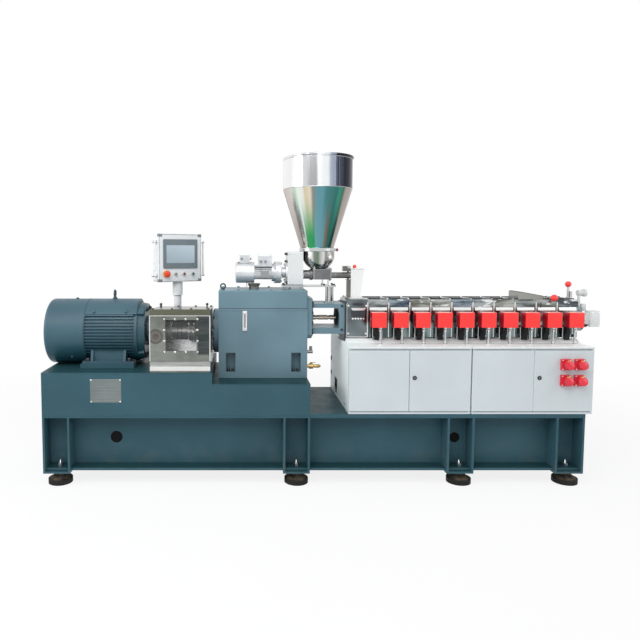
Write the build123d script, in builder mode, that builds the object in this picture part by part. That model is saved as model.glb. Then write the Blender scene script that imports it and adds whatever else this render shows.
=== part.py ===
"""Twin-screw plastic extruder: drive motor, gearbox, barrel row, cabinets and feeder on one steel frame.

Millimetres. X runs along the machine from the drive end to the die end, -Y is the operator's side, Z is up.
The modelling frame has Y = 0 on the screw axis; SHIFT moves every part so that the origin lies under the
middle of the whole machine, on the floor.
"""
import os
from math import cos, radians, sin

from build123d import *

os.makedirs("parts", exist_ok=True)

# Place of the modelling frame in the machine's frame
SHIFT_X = -23.0
SHIFT_Y = 33.68

# Running clearance of a shaft in its bore
RUN = 0.06

# Frame
FRONT = -400.0
BACK = 400.0
FRAME_LEFT = -1938.0
FRAME_RIGHT = 1828.0
STEP_X = -758.0
BED_RIGHT = -78.0
BED_TOP = 800.0
NOTCH_TOP = 720.0
BED_BOTTOM = 495.0
DECK_TOP = 512.0
LEG_SPANS = ((-1938.0, -1750.0), (-264.0, -78.0), (876.0, 1063.0), (1630.0, 1827.0))
LEG_PLATE = 15.0
FOOT_PLATE_LOW = 88.0
FLANGE_LOW = 103.0
FLANGE_HIGH = 121.0
GIRDER_FLANGE = 483.0
WEB_OUT = 270.0
WEB_IN = 258.0
FLANGE_IN = 150.0
FLANGE_OUT = 375.0
FOOT_X = (-1842.0, -165.0, 991.0, 1747.0)
FOOT_Y = 315.0
FOOT_R = 84.0
FOOT_HIGH = 74.0
SCREW_HOLE_R = 14.0

# Drive line
MOTOR_Z = 1041.0
MOTOR_R = 237.0
COWL_R = 240.0
COWL_LEFT = -1975.0
COWL_RIGHT = -1685.0
FINS_RIGHT = -1323.0
SHIELD_LEFT = FINS_RIGHT + 12.0
SHIELD_RIGHT = -1240.0
HOOD_LOW = 1183.0
RAIL_LEFT = -1711.0
RAIL_RIGHT = -1327.0
RAIL_TOP = 830.0
SHAFT_R = 30.0
EYE_X = -1504.0
EYE_SEAT = MOTOR_Z + COWL_R + 2.0

# Coupling guard
GUARD_LEFT = -1188.0
GUARD_RIGHT = -770.0
GUARD_FRONT = -390.0
GUARD_BACK = 110.0

# Gearbox
GEAR_LEFT = -720.0
GEAR_RIGHT = -78.0
GEAR_HALF = 195.0
GEAR_SPLIT = 1225.0
GEAR_TOP = 1356.0
INPUT_LEFT = -764.0
OUTPUT_RIGHT = -44.0
BREATHER_X = -460.0

# Lantern and screw shafts
LANTERN_RIGHT = 199.0
LANTERN_HALF = 130.0
LANTERN_LOW = 1032.0
LANTERN_HIGH = 1254.0
WINDOW_LEFT = -30.0
WINDOW_RIGHT = 163.0
WINDOW_LOW = 1076.0
WINDOW_HIGH = 1223.0
SCREW_Z = 1140.0
SCREW_Y = 19.0
SCREW_R = 13.0

# Barrel row
BARREL_START = 366.0
PITCH = 153.3
SECTIONS = 10
BARREL_END = BARREL_START + SECTIONS * PITCH
BARREL_HALF = 78.0
BARREL_LOW = 1062.0
BARREL_HIGH = 1218.0
COVER_HALF = 140.0
COVER_LOW = 1008.0
COVER_TOP = 1285.0
COVER_BEVEL = 22.0
SHEET = 3.0
THROAT_X = 295.0
BOX_LEFT = 359.0
BOX_WIDE = 103.0
BOX_FRONT = -320.0
TUBE_Y = -262.0
LID_LEFT = 1474.0
LID_RIGHT = 1656.0
BOX_BACK = -246.0
BOX_LOW = 1102.0
BOX_HIGH = 1208.0

# Die end
HEAD_RIGHT = 1951.0
LEVER_X = 1712.0
STEM_X = 1872.0

# Cabinets
CABINET_TOP = 975.0
CAB1_LEFT = 186.0
CAB1_RIGHT = 1029.0
CAB1_MIDDLE = 604.0
CAB2_LEFT = 1038.0
CAB2_RIGHT = 1873.0
CAB2_MIDDLE = 1462.0
DOOR_THICK = 16.0
DOOR_GAP = 6.0
LIP = 12.0
PIN_R = 4.0
PIN_IN = 8.0
PIN_LONG = 18.0

# Feeder
FEED_Z = 1463.0
TUBE_Z = FEED_Z - 6.0
TUBE_FLANGE_R = 30.0
FEED_MOTOR_Z = 1478.0
FEED_MOTOR_R = 78.0
BOWL_X = 22.0
HOPPER_X = 12.0
FUNNEL_LEFT = 259.0
FUNNEL_RIGHT = 357.0
FUNNEL_FOOT = 329.0
KNOB_X = 294.0
FUNNEL_LOW = COVER_TOP
FUNNEL_HIGH = 1506.0
FUNNEL_WALL = 4.0

# Operator panel
PANEL_X = -1055.0
PANEL_Y = 200.0
PANEL_YAW = 30.0
PANEL_W = 360.0
PANEL_D = 112.0
PANEL_LOW = 1400.0
PANEL_HIGH = 1770.0
POLE_R = 29.0


def block(x0, x1, y0, y1, z0, z1, mode=Mode.ADD):
    """Rectangular block between two corners, in the open builder."""
    with Locations(((x0 + x1) / 2, (y0 + y1) / 2, (z0 + z1) / 2)):
        Box(abs(x1 - x0), abs(y1 - y0), abs(z1 - z0), mode=mode)


def bar_x(x0, x1, y, z, radius, mode=Mode.ADD):
    """Round bar along X."""
    with Locations(Location(((x0 + x1) / 2, y, z), (0, 90, 0))):
        Cylinder(radius, x1 - x0, mode=mode)


def bar_y(x, y0, y1, z, radius, mode=Mode.ADD):
    """Round bar along Y."""
    with Locations(Location((x, (y0 + y1) / 2, z), (90, 0, 0))):
        Cylinder(radius, y1 - y0, mode=mode)


def bar_z(x, y, z0, z1, radius, mode=Mode.ADD):
    """Round bar along Z."""
    with Locations((x, y, (z0 + z1) / 2)):
        Cylinder(radius, z1 - z0, mode=mode)


def cone_z(x, y, z0, z1, r0, r1, mode=Mode.ADD):
    """Cone frustum along Z."""
    with Locations((x, y, (z0 + z1) / 2)):
        Cone(r0, r1, z1 - z0, mode=mode)


def cone_x(x0, x1, y, z, r0, r1, mode=Mode.ADD):
    """Cone frustum along X."""
    with Locations(Location(((x0 + x1) / 2, y, z), (0, 90, 0))):
        Cone(r0, r1, x1 - x0, mode=mode)


def ball(x, y, z, radius, mode=Mode.ADD):
    """Ball."""
    with Locations((x, y, z)):
        Sphere(radius, mode=mode)


def hexagon(x, y, z0, z1, across, mode=Mode.ADD):
    """Hexagonal nut or head standing on Z."""
    with BuildSketch(Plane((x, y, z0))) as outline:
        RegularPolygon(across / 2, 6, major_radius=False)
    extrude(outline.sketch, amount=z1 - z0, mode=mode)


def profile_x(points, x0, x1, mode=Mode.ADD):
    """Prism along X with the given outline of (y, z) corners."""
    with BuildSketch(Plane.YZ.offset(x0)) as outline:
        with BuildLine():
            Polyline(*points, close=True)
        make_face()
    extrude(outline.sketch, amount=x1 - x0, mode=mode)


def profile_y(points, y0, y1, mode=Mode.ADD):
    """Prism along Y with the given outline of (x, z) corners."""
    with BuildSketch(Plane.XZ.offset(-y0)) as outline:
        with BuildLine():
            Polyline(*points, close=True)
        make_face()
    extrude(outline.sketch, amount=-(y1 - y0), mode=mode)


def save(shape, node):
    """Write one part of the machine in the machine's frame."""
    placed = shape.moved(Location((SHIFT_X, SHIFT_Y, 0)))
    placed.label = node
    export_step(placed, f"parts/{node}.step")


# The frame: a closed drive bed with a step for the gearbox, standing on two long girders

with BuildPart() as drive_bed:
    block(FRAME_LEFT, STEP_X, FRONT, BACK, BED_BOTTOM, BED_TOP)
    block(STEP_X, BED_RIGHT, FRONT, BACK, BED_BOTTOM, NOTCH_TOP)
    for side in (-1, 1):
        block(RAIL_LEFT, RAIL_RIGHT, side * 235.0, side * 140.0, BED_TOP, RAIL_TOP)
save(drive_bed.part, "drive_bed")


def girder(side):
    """One long beam: top flange, recessed web with two round holes, bottom flange with the screw holes."""
    with BuildPart() as beam:
        block(FRAME_LEFT, FRAME_RIGHT, side * FLANGE_IN, side * 400.0, GIRDER_FLANGE, BED_BOTTOM)
        block(FRAME_LEFT, FRAME_RIGHT, side * FLANGE_IN, side * FLANGE_OUT, FLANGE_LOW, FLANGE_HIGH)
        block(FRAME_LEFT, FRAME_RIGHT, side * WEB_IN, side * WEB_OUT, FLANGE_HIGH, GIRDER_FLANGE)
        bar_y(-1450.0, -300.0, 300.0, 309.0, 41.0, mode=Mode.SUBTRACT)
        bar_y(973.0, -300.0, 300.0, 305.0, 35.0, mode=Mode.SUBTRACT)
        for x in FOOT_X:
            bar_z(x, side * FOOT_Y, 90.0, 130.0, SCREW_HOLE_R, mode=Mode.SUBTRACT)
    return beam.part


save(girder(-1), "girder_front")
save(girder(1), "girder_back")


def leg_row(side):
    """Four leg stations: two side plates each, on a foot plate with a hole for the levelling screw."""
    with BuildPart() as group:
        for left, right in LEG_SPANS:
            for x0, x1 in ((left, left + LEG_PLATE), (right - LEG_PLATE, right)):
                block(x0, x1, side * 400.0, side * WEB_OUT, FLANGE_HIGH, GIRDER_FLANGE)
                block(x0, x1, side * 400.0, side * FLANGE_OUT, FLANGE_LOW, FLANGE_HIGH)
            block(left, right, side * 400.0, side * 230.0, FOOT_PLATE_LOW, FLANGE_LOW)
        for x in FOOT_X:
            bar_z(x, side * FOOT_Y, 80.0, 110.0, SCREW_HOLE_R, mode=Mode.SUBTRACT)
    return group.part


with BuildPart() as legs:
    add(leg_row(-1))
    add(leg_row(1))
save(legs.part, "legs")

with BuildPart() as cross_plates:
    for left, right in LEG_SPANS:
        middle = (left + right) / 2
        block(middle - 8.0, middle + 8.0, -WEB_IN, WEB_IN, FLANGE_HIGH, GIRDER_FLANGE)
        bar_x(middle - 20.0, middle + 20.0, 0.0, 300.0, 90.0, mode=Mode.SUBTRACT)
save(cross_plates.part, "cross_plates")

with BuildPart() as barrel_bed:
    block(BED_RIGHT, FRAME_RIGHT, FRONT, BACK, BED_BOTTOM, DECK_TOP)
save(barrel_bed.part, "barrel_bed")

with BuildPart() as foot_screws:
    for x in FOOT_X:
        for side in (-1, 1):
            bar_z(x, side * FOOT_Y, FOOT_HIGH, 142.0, 12.0)
            cone_z(x, side * FOOT_Y, 142.0, 160.0, 12.0, 3.0)
            hexagon(x, side * FOOT_Y, FOOT_HIGH, FOOT_PLATE_LOW, 56.0)
            hexagon(x, side * FOOT_Y, FLANGE_HIGH, FLANGE_HIGH + 14.0, 36.0)
save(foot_screws.part, "foot_screws")

with BuildPart() as feet:
    for x in FOOT_X:
        for side in (-1, 1):
            bar_z(x, side * FOOT_Y, 0.0, 32.0, FOOT_R)
            cone_z(x, side * FOOT_Y, 32.0, 54.0, FOOT_R - 8.0, 46.0)
            bar_z(x, side * FOOT_Y, 54.0, FOOT_HIGH, 38.0)
save(feet.part, "feet")

# The main motor: fan cowl, finned frame under a smooth hood, end shield

GRILLE_SLOTS = 12
with BuildPart() as motor_cowl:
    bar_x(COWL_LEFT, COWL_RIGHT, 0.0, MOTOR_Z, COWL_R)
    fillet(motor_cowl.faces().sort_by(Axis.X)[0].edges(), 26.0)
    bar_x(COWL_LEFT + 28.0, COWL_RIGHT, 0.0, MOTOR_Z, COWL_R - 8.0, mode=Mode.SUBTRACT)
    bar_x(COWL_LEFT + 8.0, COWL_LEFT + 28.0, 0.0, MOTOR_Z, COWL_R - 26.0, mode=Mode.SUBTRACT)
    with Locations(Location((COWL_LEFT, 0.0, MOTOR_Z), (0, 90, 0))):
        with PolarLocations(110.0, GRILLE_SLOTS):
            Box(130.0, 16.0, 40.0, mode=Mode.SUBTRACT)
    bar_x(COWL_RIGHT - 230.0, COWL_RIGHT - 212.0, 0.0, MOTOR_Z, 60.0)
    for angle in (0, 60, 120):
        with Locations(Location((COWL_RIGHT - 221.0, 0.0, MOTOR_Z), (angle, 0, 0))):
            Box(14.0, 2 * COWL_R - 12.0, 22.0)
save(motor_cowl.part, "motor_cowl")

FIN_COUNT = 13
FIN_STEP = 22.5
with BuildPart() as motor_frame:
    for i in range(FIN_COUNT):
        z = MOTOR_Z + (i - (FIN_COUNT - 1) / 2) * FIN_STEP
        block(COWL_RIGHT, FINS_RIGHT - 14.0, -260.0, 260.0, z - 4.0, z + 4.0)
    bar_x(COWL_RIGHT, FINS_RIGHT, 0.0, MOTOR_Z, MOTOR_R, mode=Mode.INTERSECT)
    bar_x(COWL_RIGHT, FINS_RIGHT, 0.0, MOTOR_Z, 205.0)
    bar_x(FINS_RIGHT - 14.0, SHIELD_LEFT, 0.0, MOTOR_Z, 226.0)
    with BuildPart(mode=Mode.PRIVATE) as hood:
        bar_x(COWL_RIGHT, SHIELD_LEFT, 0.0, MOTOR_Z, COWL_R)
        block(COWL_RIGHT, SHIELD_LEFT, -250.0, 250.0, MOTOR_Z - 250.0, HOOD_LOW, mode=Mode.SUBTRACT)
        bar_x(COWL_RIGHT - 1.0, SHIELD_LEFT + 1.0, 0.0, MOTOR_Z, 215.0, mode=Mode.SUBTRACT)
    add(hood.part)
    bar_z(EYE_X, 0.0, MOTOR_Z + 200.0, EYE_SEAT, 24.0)
    block(COWL_RIGHT + 12.0, FINS_RIGHT - 6.0, -178.0, 178.0, 900.0, 925.0)
    for side in (-1, 1):
        block(RAIL_LEFT + 15.0, RAIL_RIGHT, side * 145.0, side * 232.0, RAIL_TOP, 848.0)
        block(-1620.0, -1406.0, side * 150.0, side * 196.0, 848.0, 925.0)
        for x in (-1630.0, -1396.0):
            profile_x(((side * 140.0, 848.0), (side * 226.0, 848.0), (side * 205.0, 925.0), (side * 140.0, 960.0)),
                      x - 9.0, x + 9.0)
save(motor_frame.part, "motor_frame")

with BuildPart() as motor_end_shield:
    cone_x(SHIELD_LEFT, SHIELD_RIGHT - 16.0, 0.0, MOTOR_Z, 214.0, 203.0)
    bar_x(SHIELD_RIGHT - 16.0, SHIELD_RIGHT, 0.0, MOTOR_Z, 110.0)
    for angle in range(45, 360, 90):
        with Locations(Location((SHIELD_LEFT + 24.0, 0.0, MOTOR_Z), (angle, 0, 0))):
            with Locations((0.0, 200.0, 0.0)):
                Box(48.0, 56.0, 50.0)
    bar_x(SHIELD_RIGHT - 14.0, SHIELD_RIGHT + 1.0, 0.0, MOTOR_Z, SHAFT_R + RUN, mode=Mode.SUBTRACT)
save(motor_end_shield.part, "motor_end_shield")

with BuildPart() as top_fittings:
    bar_z(EYE_X, 0.0, EYE_SEAT, EYE_SEAT + 12.0, 14.0)
    with Locations(Location((EYE_X, 0.0, EYE_SEAT + 38.0), (0, 90, 0))):
        Torus(22.0, 7.0)
    bar_z(-688.0, -150.0, GEAR_TOP, GEAR_TOP + 12.0, 12.0)
    with Locations(Location((-688.0, -150.0, GEAR_TOP + 28.0), (90, 0, 0))):
        Torus(17.0, 5.5)
    bar_z(BREATHER_X, 0.0, GEAR_TOP, GEAR_TOP + 20.0, 36.0)
    cone_z(BREATHER_X, 0.0, GEAR_TOP + 20.0, GEAR_TOP + 40.0, 40.0, 48.0)
save(top_fittings.part, "top_fittings")

# Drive coupling: two bolted disc packs between motor and gearbox, turned by the motor

with BuildPart() as drive_coupling:
    bar_x(SHIELD_RIGHT - 10.0, INPUT_LEFT + 10.0, 0.0, MOTOR_Z, SHAFT_R)
    bar_x(-1150.0, -1114.0, 0.0, MOTOR_Z, 50.0)
    for x in (-1114.0, -945.0):
        bar_x(x, x + 13.0, 0.0, MOTOR_Z, 76.0)
        bar_x(x + 13.0, x + 19.0, 0.0, MOTOR_Z, 66.0)
        bar_x(x + 19.0, x + 32.0, 0.0, MOTOR_Z, 76.0)
        with Locations(Location((x + 16.0, 0.0, MOTOR_Z), (0, 90, 0))):
            with PolarLocations(62.0, 6):
                Cylinder(7.0, 50.0)
    bar_x(-1082.0, -945.0, 0.0, MOTOR_Z, 50.0)
    bar_x(-913.0, -877.0, 0.0, MOTOR_Z, 50.0)
save(drive_coupling.part, "drive_coupling")

GUARD_OUTER = ((GUARD_FRONT, BED_TOP), (GUARD_FRONT, 843.0), (GUARD_FRONT + 10.0, 843.0),
               (GUARD_FRONT + 2.0, 878.0), (GUARD_FRONT + 2.0, 1196.0), (GUARD_FRONT + 38.0, 1235.0),
               (GUARD_BACK, 1212.0), (GUARD_BACK, BED_TOP))
GUARD_INNER = ((GUARD_FRONT + 12.0, BED_TOP - 5.0), (GUARD_FRONT + 12.0, 1193.0), (GUARD_FRONT + 40.0, 1231.0),
               (GUARD_BACK - SHEET, 1209.0), (GUARD_BACK - SHEET, BED_TOP - 5.0))
with BuildPart() as coupling_guard:
    profile_x(GUARD_OUTER, GUARD_LEFT, GUARD_RIGHT)
    profile_x(GUARD_INNER, GUARD_LEFT + SHEET, GUARD_RIGHT - SHEET, mode=Mode.SUBTRACT)
    block(-1078.0, -864.0, GUARD_FRONT - 5.0, GUARD_FRONT + 20.0, 950.0, 1165.0, mode=Mode.SUBTRACT)
    block(GUARD_LEFT - 5.0, GUARD_RIGHT + 5.0, -55.0, 55.0, BED_TOP - 5.0, 1100.0, mode=Mode.SUBTRACT)
    for x in (-1168.0, -816.0):
        bar_z(x, 60.0, 1206.0, 1224.0, 5.0)
        ball(x, 60.0, 1233.0, 11.0)
save(coupling_guard.part, "coupling_guard")

with BuildPart() as guard_window:
    block(-1092.0, -850.0, GUARD_FRONT + 12.0, GUARD_FRONT + 17.0, 935.0, 1180.0)
save(guard_window.part, "guard_window")

# The gearbox: case with foot pockets, lid, round input housing and square output flange

with BuildPart() as gearbox_case:
    block(GEAR_LEFT, GEAR_RIGHT, -GEAR_HALF, GEAR_HALF, NOTCH_TOP, GEAR_SPLIT)
    for x0, x1 in ((-667.0, -598.0), (-194.0, -125.0)):
        for side in (-1, 1):
            block(x0, x1, side * GEAR_HALF, side * (GEAR_HALF - 75.0), 763.0, 904.0, mode=Mode.SUBTRACT)
save(gearbox_case.part, "gearbox_case")

with BuildPart() as gearbox_lid:
    block(GEAR_LEFT, GEAR_RIGHT, -GEAR_HALF, GEAR_HALF, GEAR_SPLIT, GEAR_TOP)
    fillet(gearbox_lid.edges().filter_by(Axis.Z), 12.0)
    fillet(gearbox_lid.faces().sort_by(Axis.Z)[-1].edges(), 9.0)
save(gearbox_lid.part, "gearbox_lid")

with BuildPart() as gearbox_flanges:
    bar_x(INPUT_LEFT + 12.0, GEAR_LEFT, 0.0, MOTOR_Z, 165.0)
    bar_x(INPUT_LEFT, INPUT_LEFT + 12.0, 0.0, MOTOR_Z, 150.0)
    bar_x(INPUT_LEFT - 1.0, INPUT_LEFT + 16.0, 0.0, MOTOR_Z, SHAFT_R + RUN, mode=Mode.SUBTRACT)
    profile_x(((-150.0, 1003.0), (150.0, 1003.0), (175.0, 1028.0), (175.0, 1275.0), (150.0, 1299.0),
               (-150.0, 1299.0), (-175.0, 1275.0), (-175.0, 1028.0)), GEAR_RIGHT, OUTPUT_RIGHT)
save(gearbox_flanges.part, "gearbox_flanges")

with BuildPart() as sight_glass:
    block(-546.0, -514.0, -GEAR_HALF - 9.0, -GEAR_HALF, 1065.0, 1208.0)
    block(-538.0, -522.0, -GEAR_HALF - 10.0, -GEAR_HALF - 4.0, 1085.0, 1188.0, mode=Mode.SUBTRACT)
save(sight_glass.part, "sight_glass")

with BuildPart() as taps:
    bar_x(GEAR_RIGHT, 9.0, -100.0, 788.0, 12.0)
    bar_x(-54.0, -26.0, -100.0, 788.0, 20.0)
    bar_z(-40.0, -100.0, 788.0, 812.0, 8.0)
    bar_x(GEAR_RIGHT, -28.0, -100.0, 896.0, 13.0)
    bar_z(-42.0, -100.0, 896.0, 936.0, 11.0)
save(taps.part, "drain_taps")

# The lantern between gearbox and barrel, open from front to back, with the two screw shafts in it

with BuildPart() as lantern:
    block(OUTPUT_RIGHT, LANTERN_RIGHT, -LANTERN_HALF, LANTERN_HALF, LANTERN_LOW, LANTERN_HIGH)
    block(WINDOW_LEFT, WINDOW_RIGHT, -LANTERN_HALF - 5.0, LANTERN_HALF + 5.0, WINDOW_LOW, WINDOW_HIGH,
          mode=Mode.SUBTRACT)
    for y in (-SCREW_Y, SCREW_Y):
        bar_x(OUTPUT_RIGHT - 1.0, WINDOW_RIGHT + 26.0, y, SCREW_Z, SCREW_R + RUN, mode=Mode.SUBTRACT)
save(lantern.part, "lantern")


def screw_shaft(y):
    """One output shaft of the gearbox with its splined sleeve, seen through the lantern."""
    with BuildPart() as shaft:
        bar_x(OUTPUT_RIGHT + 4.0, WINDOW_RIGHT + 24.0, y, SCREW_Z, SCREW_R)
        bar_x(-16.0, 4.0, y, SCREW_Z, 16.0)
        bar_x(20.0, 94.0, y, SCREW_Z, 16.0)
        bar_x(112.0, 142.0, y, SCREW_Z, 16.0)
        with Locations(Location((57.0, y, SCREW_Z), (0, 90, 0))):
            with PolarLocations(16.0, 12):
                Cylinder(1.6, 74.2, mode=Mode.SUBTRACT)
    return shaft.part


save(screw_shaft(-SCREW_Y), "screw_shaft_a")
save(screw_shaft(SCREW_Y), "screw_shaft_b")

# The barrel row: feed barrel with its throat, ten heated sections on pedestals, polished covers

with BuildPart() as feed_barrel:
    block(LANTERN_RIGHT, LANTERN_RIGHT + 12.0, -136.0, 136.0, 990.0, 1259.0)
    block(LANTERN_RIGHT + 12.0, BARREL_START + 1.0, -90.0, 90.0, 1050.0, BARREL_HIGH)
    bar_z(THROAT_X, 0.0, 1150.0, 1235.0, 30.0, mode=Mode.SUBTRACT)
save(feed_barrel.part, "feed_barrel")

with BuildPart() as barrel_sections:
    for i in range(SECTIONS):
        x0 = BARREL_START + i * PITCH
        block(x0 + 1.0, x0 + PITCH - 1.0, -BARREL_HALF, BARREL_HALF, BARREL_LOW, BARREL_HIGH)
        block(x0 + 24.0, x0 + PITCH - 24.0, -BARREL_HALF - 16.0, BARREL_HALF + 16.0, BARREL_LOW + 14.0,
              BARREL_HIGH - 14.0)
    for i in (0, 3, 5, 8):
        x = BARREL_START + (i + 0.5) * PITCH
        block(x - 30.0, x + 30.0, -70.0, 70.0, CABINET_TOP, BARREL_LOW + 3.0)
        block(x - 42.0, x + 42.0, -90.0, 90.0, CABINET_TOP, CABINET_TOP + 12.0)
save(barrel_sections.part, "barrel_sections")


def cover(x0, x1):
    """Cover over one barrel section: front, top and back of one bent sheet with end walls that sit on it."""
    outer = ((-COVER_HALF, COVER_LOW), (-COVER_HALF, COVER_TOP - COVER_BEVEL), (-COVER_HALF + COVER_BEVEL, COVER_TOP),
             (COVER_HALF - COVER_BEVEL, COVER_TOP), (COVER_HALF, COVER_TOP - COVER_BEVEL), (COVER_HALF, COVER_LOW))
    inside = COVER_HALF - SHEET
    inner = ((-inside, COVER_LOW - 5.0), (-inside, COVER_TOP - COVER_BEVEL - 1.0),
             (-inside + COVER_BEVEL, COVER_TOP - SHEET), (inside - COVER_BEVEL, COVER_TOP - SHEET),
             (inside, COVER_TOP - COVER_BEVEL - 1.0), (inside, COVER_LOW - 5.0))
    with BuildPart() as sheet:
        profile_x(outer, x0, x1)
        profile_x(inner, x0 - 1.0, x1 + 1.0, mode=Mode.SUBTRACT)
        for x in (x0, x1 - SHEET):
            block(x, x + SHEET, -inside, inside, BARREL_HIGH, COVER_TOP - COVER_BEVEL - 2.0)
            block(x, x + SHEET, -inside + COVER_BEVEL, inside - COVER_BEVEL, COVER_TOP - COVER_BEVEL - 2.0,
                  COVER_TOP - SHEET + 0.5)
    return sheet.part


with BuildPart() as feed_cover:
    add(cover(LANTERN_RIGHT + 14.0, BARREL_START - 1.0))
    bar_z(THROAT_X, 0.0, BARREL_HIGH, COVER_TOP, 40.0)
    bar_z(THROAT_X, 0.0, BARREL_HIGH - 1.0, COVER_TOP + 1.0, 33.0, mode=Mode.SUBTRACT)
save(feed_cover.part, "feed_cover")

with BuildPart() as barrel_covers:
    for i in range(SECTIONS):
        x0 = BARREL_START + i * PITCH
        add(cover(x0 + 1.0, x0 + PITCH - 1.0))
        arm = BOX_LEFT + i * PITCH + BOX_WIDE / 2
        block(arm - 22.0, arm + 22.0, BOX_BACK, 1.0 - COVER_HALF, BOX_LOW + 28.0, BOX_LOW + 68.0)
save(barrel_covers.part, "barrel_covers")

with BuildPart() as junction_boxes:
    for i in range(SECTIONS):
        x0 = BOX_LEFT + i * PITCH
        block(x0, x0 + BOX_WIDE, BOX_FRONT, BOX_BACK, BOX_LOW, BOX_HIGH)
    fillet(junction_boxes.edges().filter_by(Axis.Y), 7.0)
    fillet(junction_boxes.faces().filter_by(Plane.XZ).sort_by(Axis.Y)[0:SECTIONS].edges(), 3.0)
save(junction_boxes.part, "junction_boxes")

with BuildPart() as solenoid_valves:
    for i in range(SECTIONS):
        x0 = BARREL_START + i * PITCH + 43.0
        block(x0, x0 + 40.0, -COVER_HALF - 40.0, -COVER_HALF, 1030.0, 1094.0)
        block(x0 + 3.0, x0 + 37.0, -COVER_HALF - 36.0, -COVER_HALF, 996.0, 1030.0)
        bar_y(x0 + 20.0, -COVER_HALF - 46.0, -COVER_HALF - 40.0, 1060.0, 13.0)
save(solenoid_valves.part, "solenoid_valves")

with BuildPart() as water_tubes:
    for i in range(SECTIONS):
        x0 = BARREL_START + i * PITCH
        bar_z(x0 + 66.0, TUBE_Y, CABINET_TOP, BOX_LOW, 7.5)
        bar_z(x0 + 66.0, TUBE_Y, BOX_LOW - 16.0, BOX_LOW, 13.0)
        bar_z(x0 + 66.0, TUBE_Y, CABINET_TOP, CABINET_TOP + 12.0, 12.0)
        bar_z(x0 + 33.0, -166.0, CABINET_TOP, 1088.0, 4.0)
        bar_y(x0 + 33.0, -166.0, -COVER_HALF, 1084.0, 4.0)
save(water_tubes.part, "water_tubes")

with BuildPart() as vent_lid:
    profile_y(((LID_LEFT, COVER_TOP), (LID_LEFT, 1337.0), (LID_LEFT + 16.0, 1339.0), (LID_RIGHT, 1309.0),
               (LID_RIGHT, COVER_TOP)), -110.0, 40.0)
    profile_y(((LID_LEFT + 4.0, COVER_TOP - 1.0), (LID_LEFT + 4.0, 1332.0), (LID_LEFT + 16.0, 1334.0),
               (LID_RIGHT - 4.0, 1304.0), (LID_RIGHT - 4.0, COVER_TOP - 1.0)), -106.0, 36.0, mode=Mode.SUBTRACT)
save(vent_lid.part, "vent_lid")

# The die end: head with bore, terminal box, pressure gauge, levers with balls

with BuildPart() as die_head:
    block(BARREL_END - 1.0, HEAD_RIGHT, -105.0, 105.0, 1052.0, 1228.0)
    bar_x(HEAD_RIGHT, HEAD_RIGHT + 22.0, 0.0, SCREW_Z, 62.0)
    bar_x(BARREL_END, HEAD_RIGHT + 30.0, 0.0, SCREW_Z, 22.0, mode=Mode.SUBTRACT)
save(die_head.part, "die_head")

with BuildPart() as head_box:
    block(HEAD_RIGHT + 1.0, 2021.0, -205.0, -137.0, 1094.0, 1206.0)
    fillet(head_box.edges().filter_by(Axis.X), 6.0)
    block(1926.0, HEAD_RIGHT + 2.0, -185.0, -150.0, 1110.0, 1190.0)
    block(1926.0, 1946.0, -151.0, -105.0, 1130.0, 1170.0)
    block(HEAD_RIGHT, HEAD_RIGHT + 32.0, -100.0, -64.0, 1196.0, 1250.0)
save(head_box.part, "head_box")

with BuildPart() as pressure_gauge:
    bar_z(1936.0, -80.0, 1228.0, 1312.0, 10.0)
    bar_z(1936.0, -80.0, 1228.0, 1250.0, 14.0)
    bar_x(1924.0, 1966.0, -80.0, 1330.0, 20.0)
    bar_x(1966.0, 1984.0, -80.0, 1330.0, 27.0)
save(pressure_gauge.part, "pressure_gauge")

with BuildPart() as lever_rods:
    bar_z(LEVER_X, -60.0, COVER_TOP, 1306.0, 9.0)
    bar_y(LEVER_X, -146.0, -60.0, 1298.0, 5.0)
    bar_z(STEM_X, -50.0, COVER_TOP, 1376.0, 8.0)
    block(STEM_X + 8.0, 1897.0, -64.0, -36.0, COVER_TOP, 1340.0)
save(lever_rods.part, "lever_rods")

with BuildPart() as lever_balls:
    ball(LEVER_X, -160.0, 1298.0, 25.0)
    bar_y(LEVER_X, -146.0, -130.0, 1298.0, 5.0, mode=Mode.SUBTRACT)
    ball(STEM_X, -50.0, 1392.0, 22.0)
    bar_z(STEM_X, -50.0, 1360.0, 1376.0, 8.0, mode=Mode.SUBTRACT)
    ball(KNOB_X, 0.0, 1522.0, 14.0)
    bar_z(KNOB_X, 0.0, 1500.0, FUNNEL_HIGH + 4.0, 20.0, mode=Mode.SUBTRACT)
save(lever_balls.part, "lever_balls")

# The two cabinets under the barrel, with two hinged leaves each

CAB_FACE = FRONT + DOOR_THICK + 8.0


def cabinet(x0, x1, middle):
    """Sheet cabinet, open in front, with a post where the two leaves meet and hinge pins in its lips."""
    low = DECK_TOP + LIP
    high = CABINET_TOP - LIP
    with BuildPart() as shell:
        block(x0, x1, CAB_FACE, BACK, DECK_TOP, CABINET_TOP)
        block(x0, x1, FRONT, CAB_FACE, high, CABINET_TOP)
        block(x0, x1, FRONT, CAB_FACE, DECK_TOP, low)
        block(x0 + SHEET, middle - 12.0, FRONT, BACK - SHEET, low, high, mode=Mode.SUBTRACT)
        block(middle + 12.0, x1 - SHEET, FRONT, BACK - SHEET, low, high, mode=Mode.SUBTRACT)
        block(middle - 13.0, middle + 13.0, FRONT + 60.0, BACK - SHEET, low, high, mode=Mode.SUBTRACT)
        for x in (x0 + PIN_IN, x1 - PIN_IN):
            bar_z(x, FRONT + PIN_IN, low, low + PIN_LONG, PIN_R)
            bar_z(x, FRONT + PIN_IN, high - PIN_LONG, high, PIN_R)
    return shell.part


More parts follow.
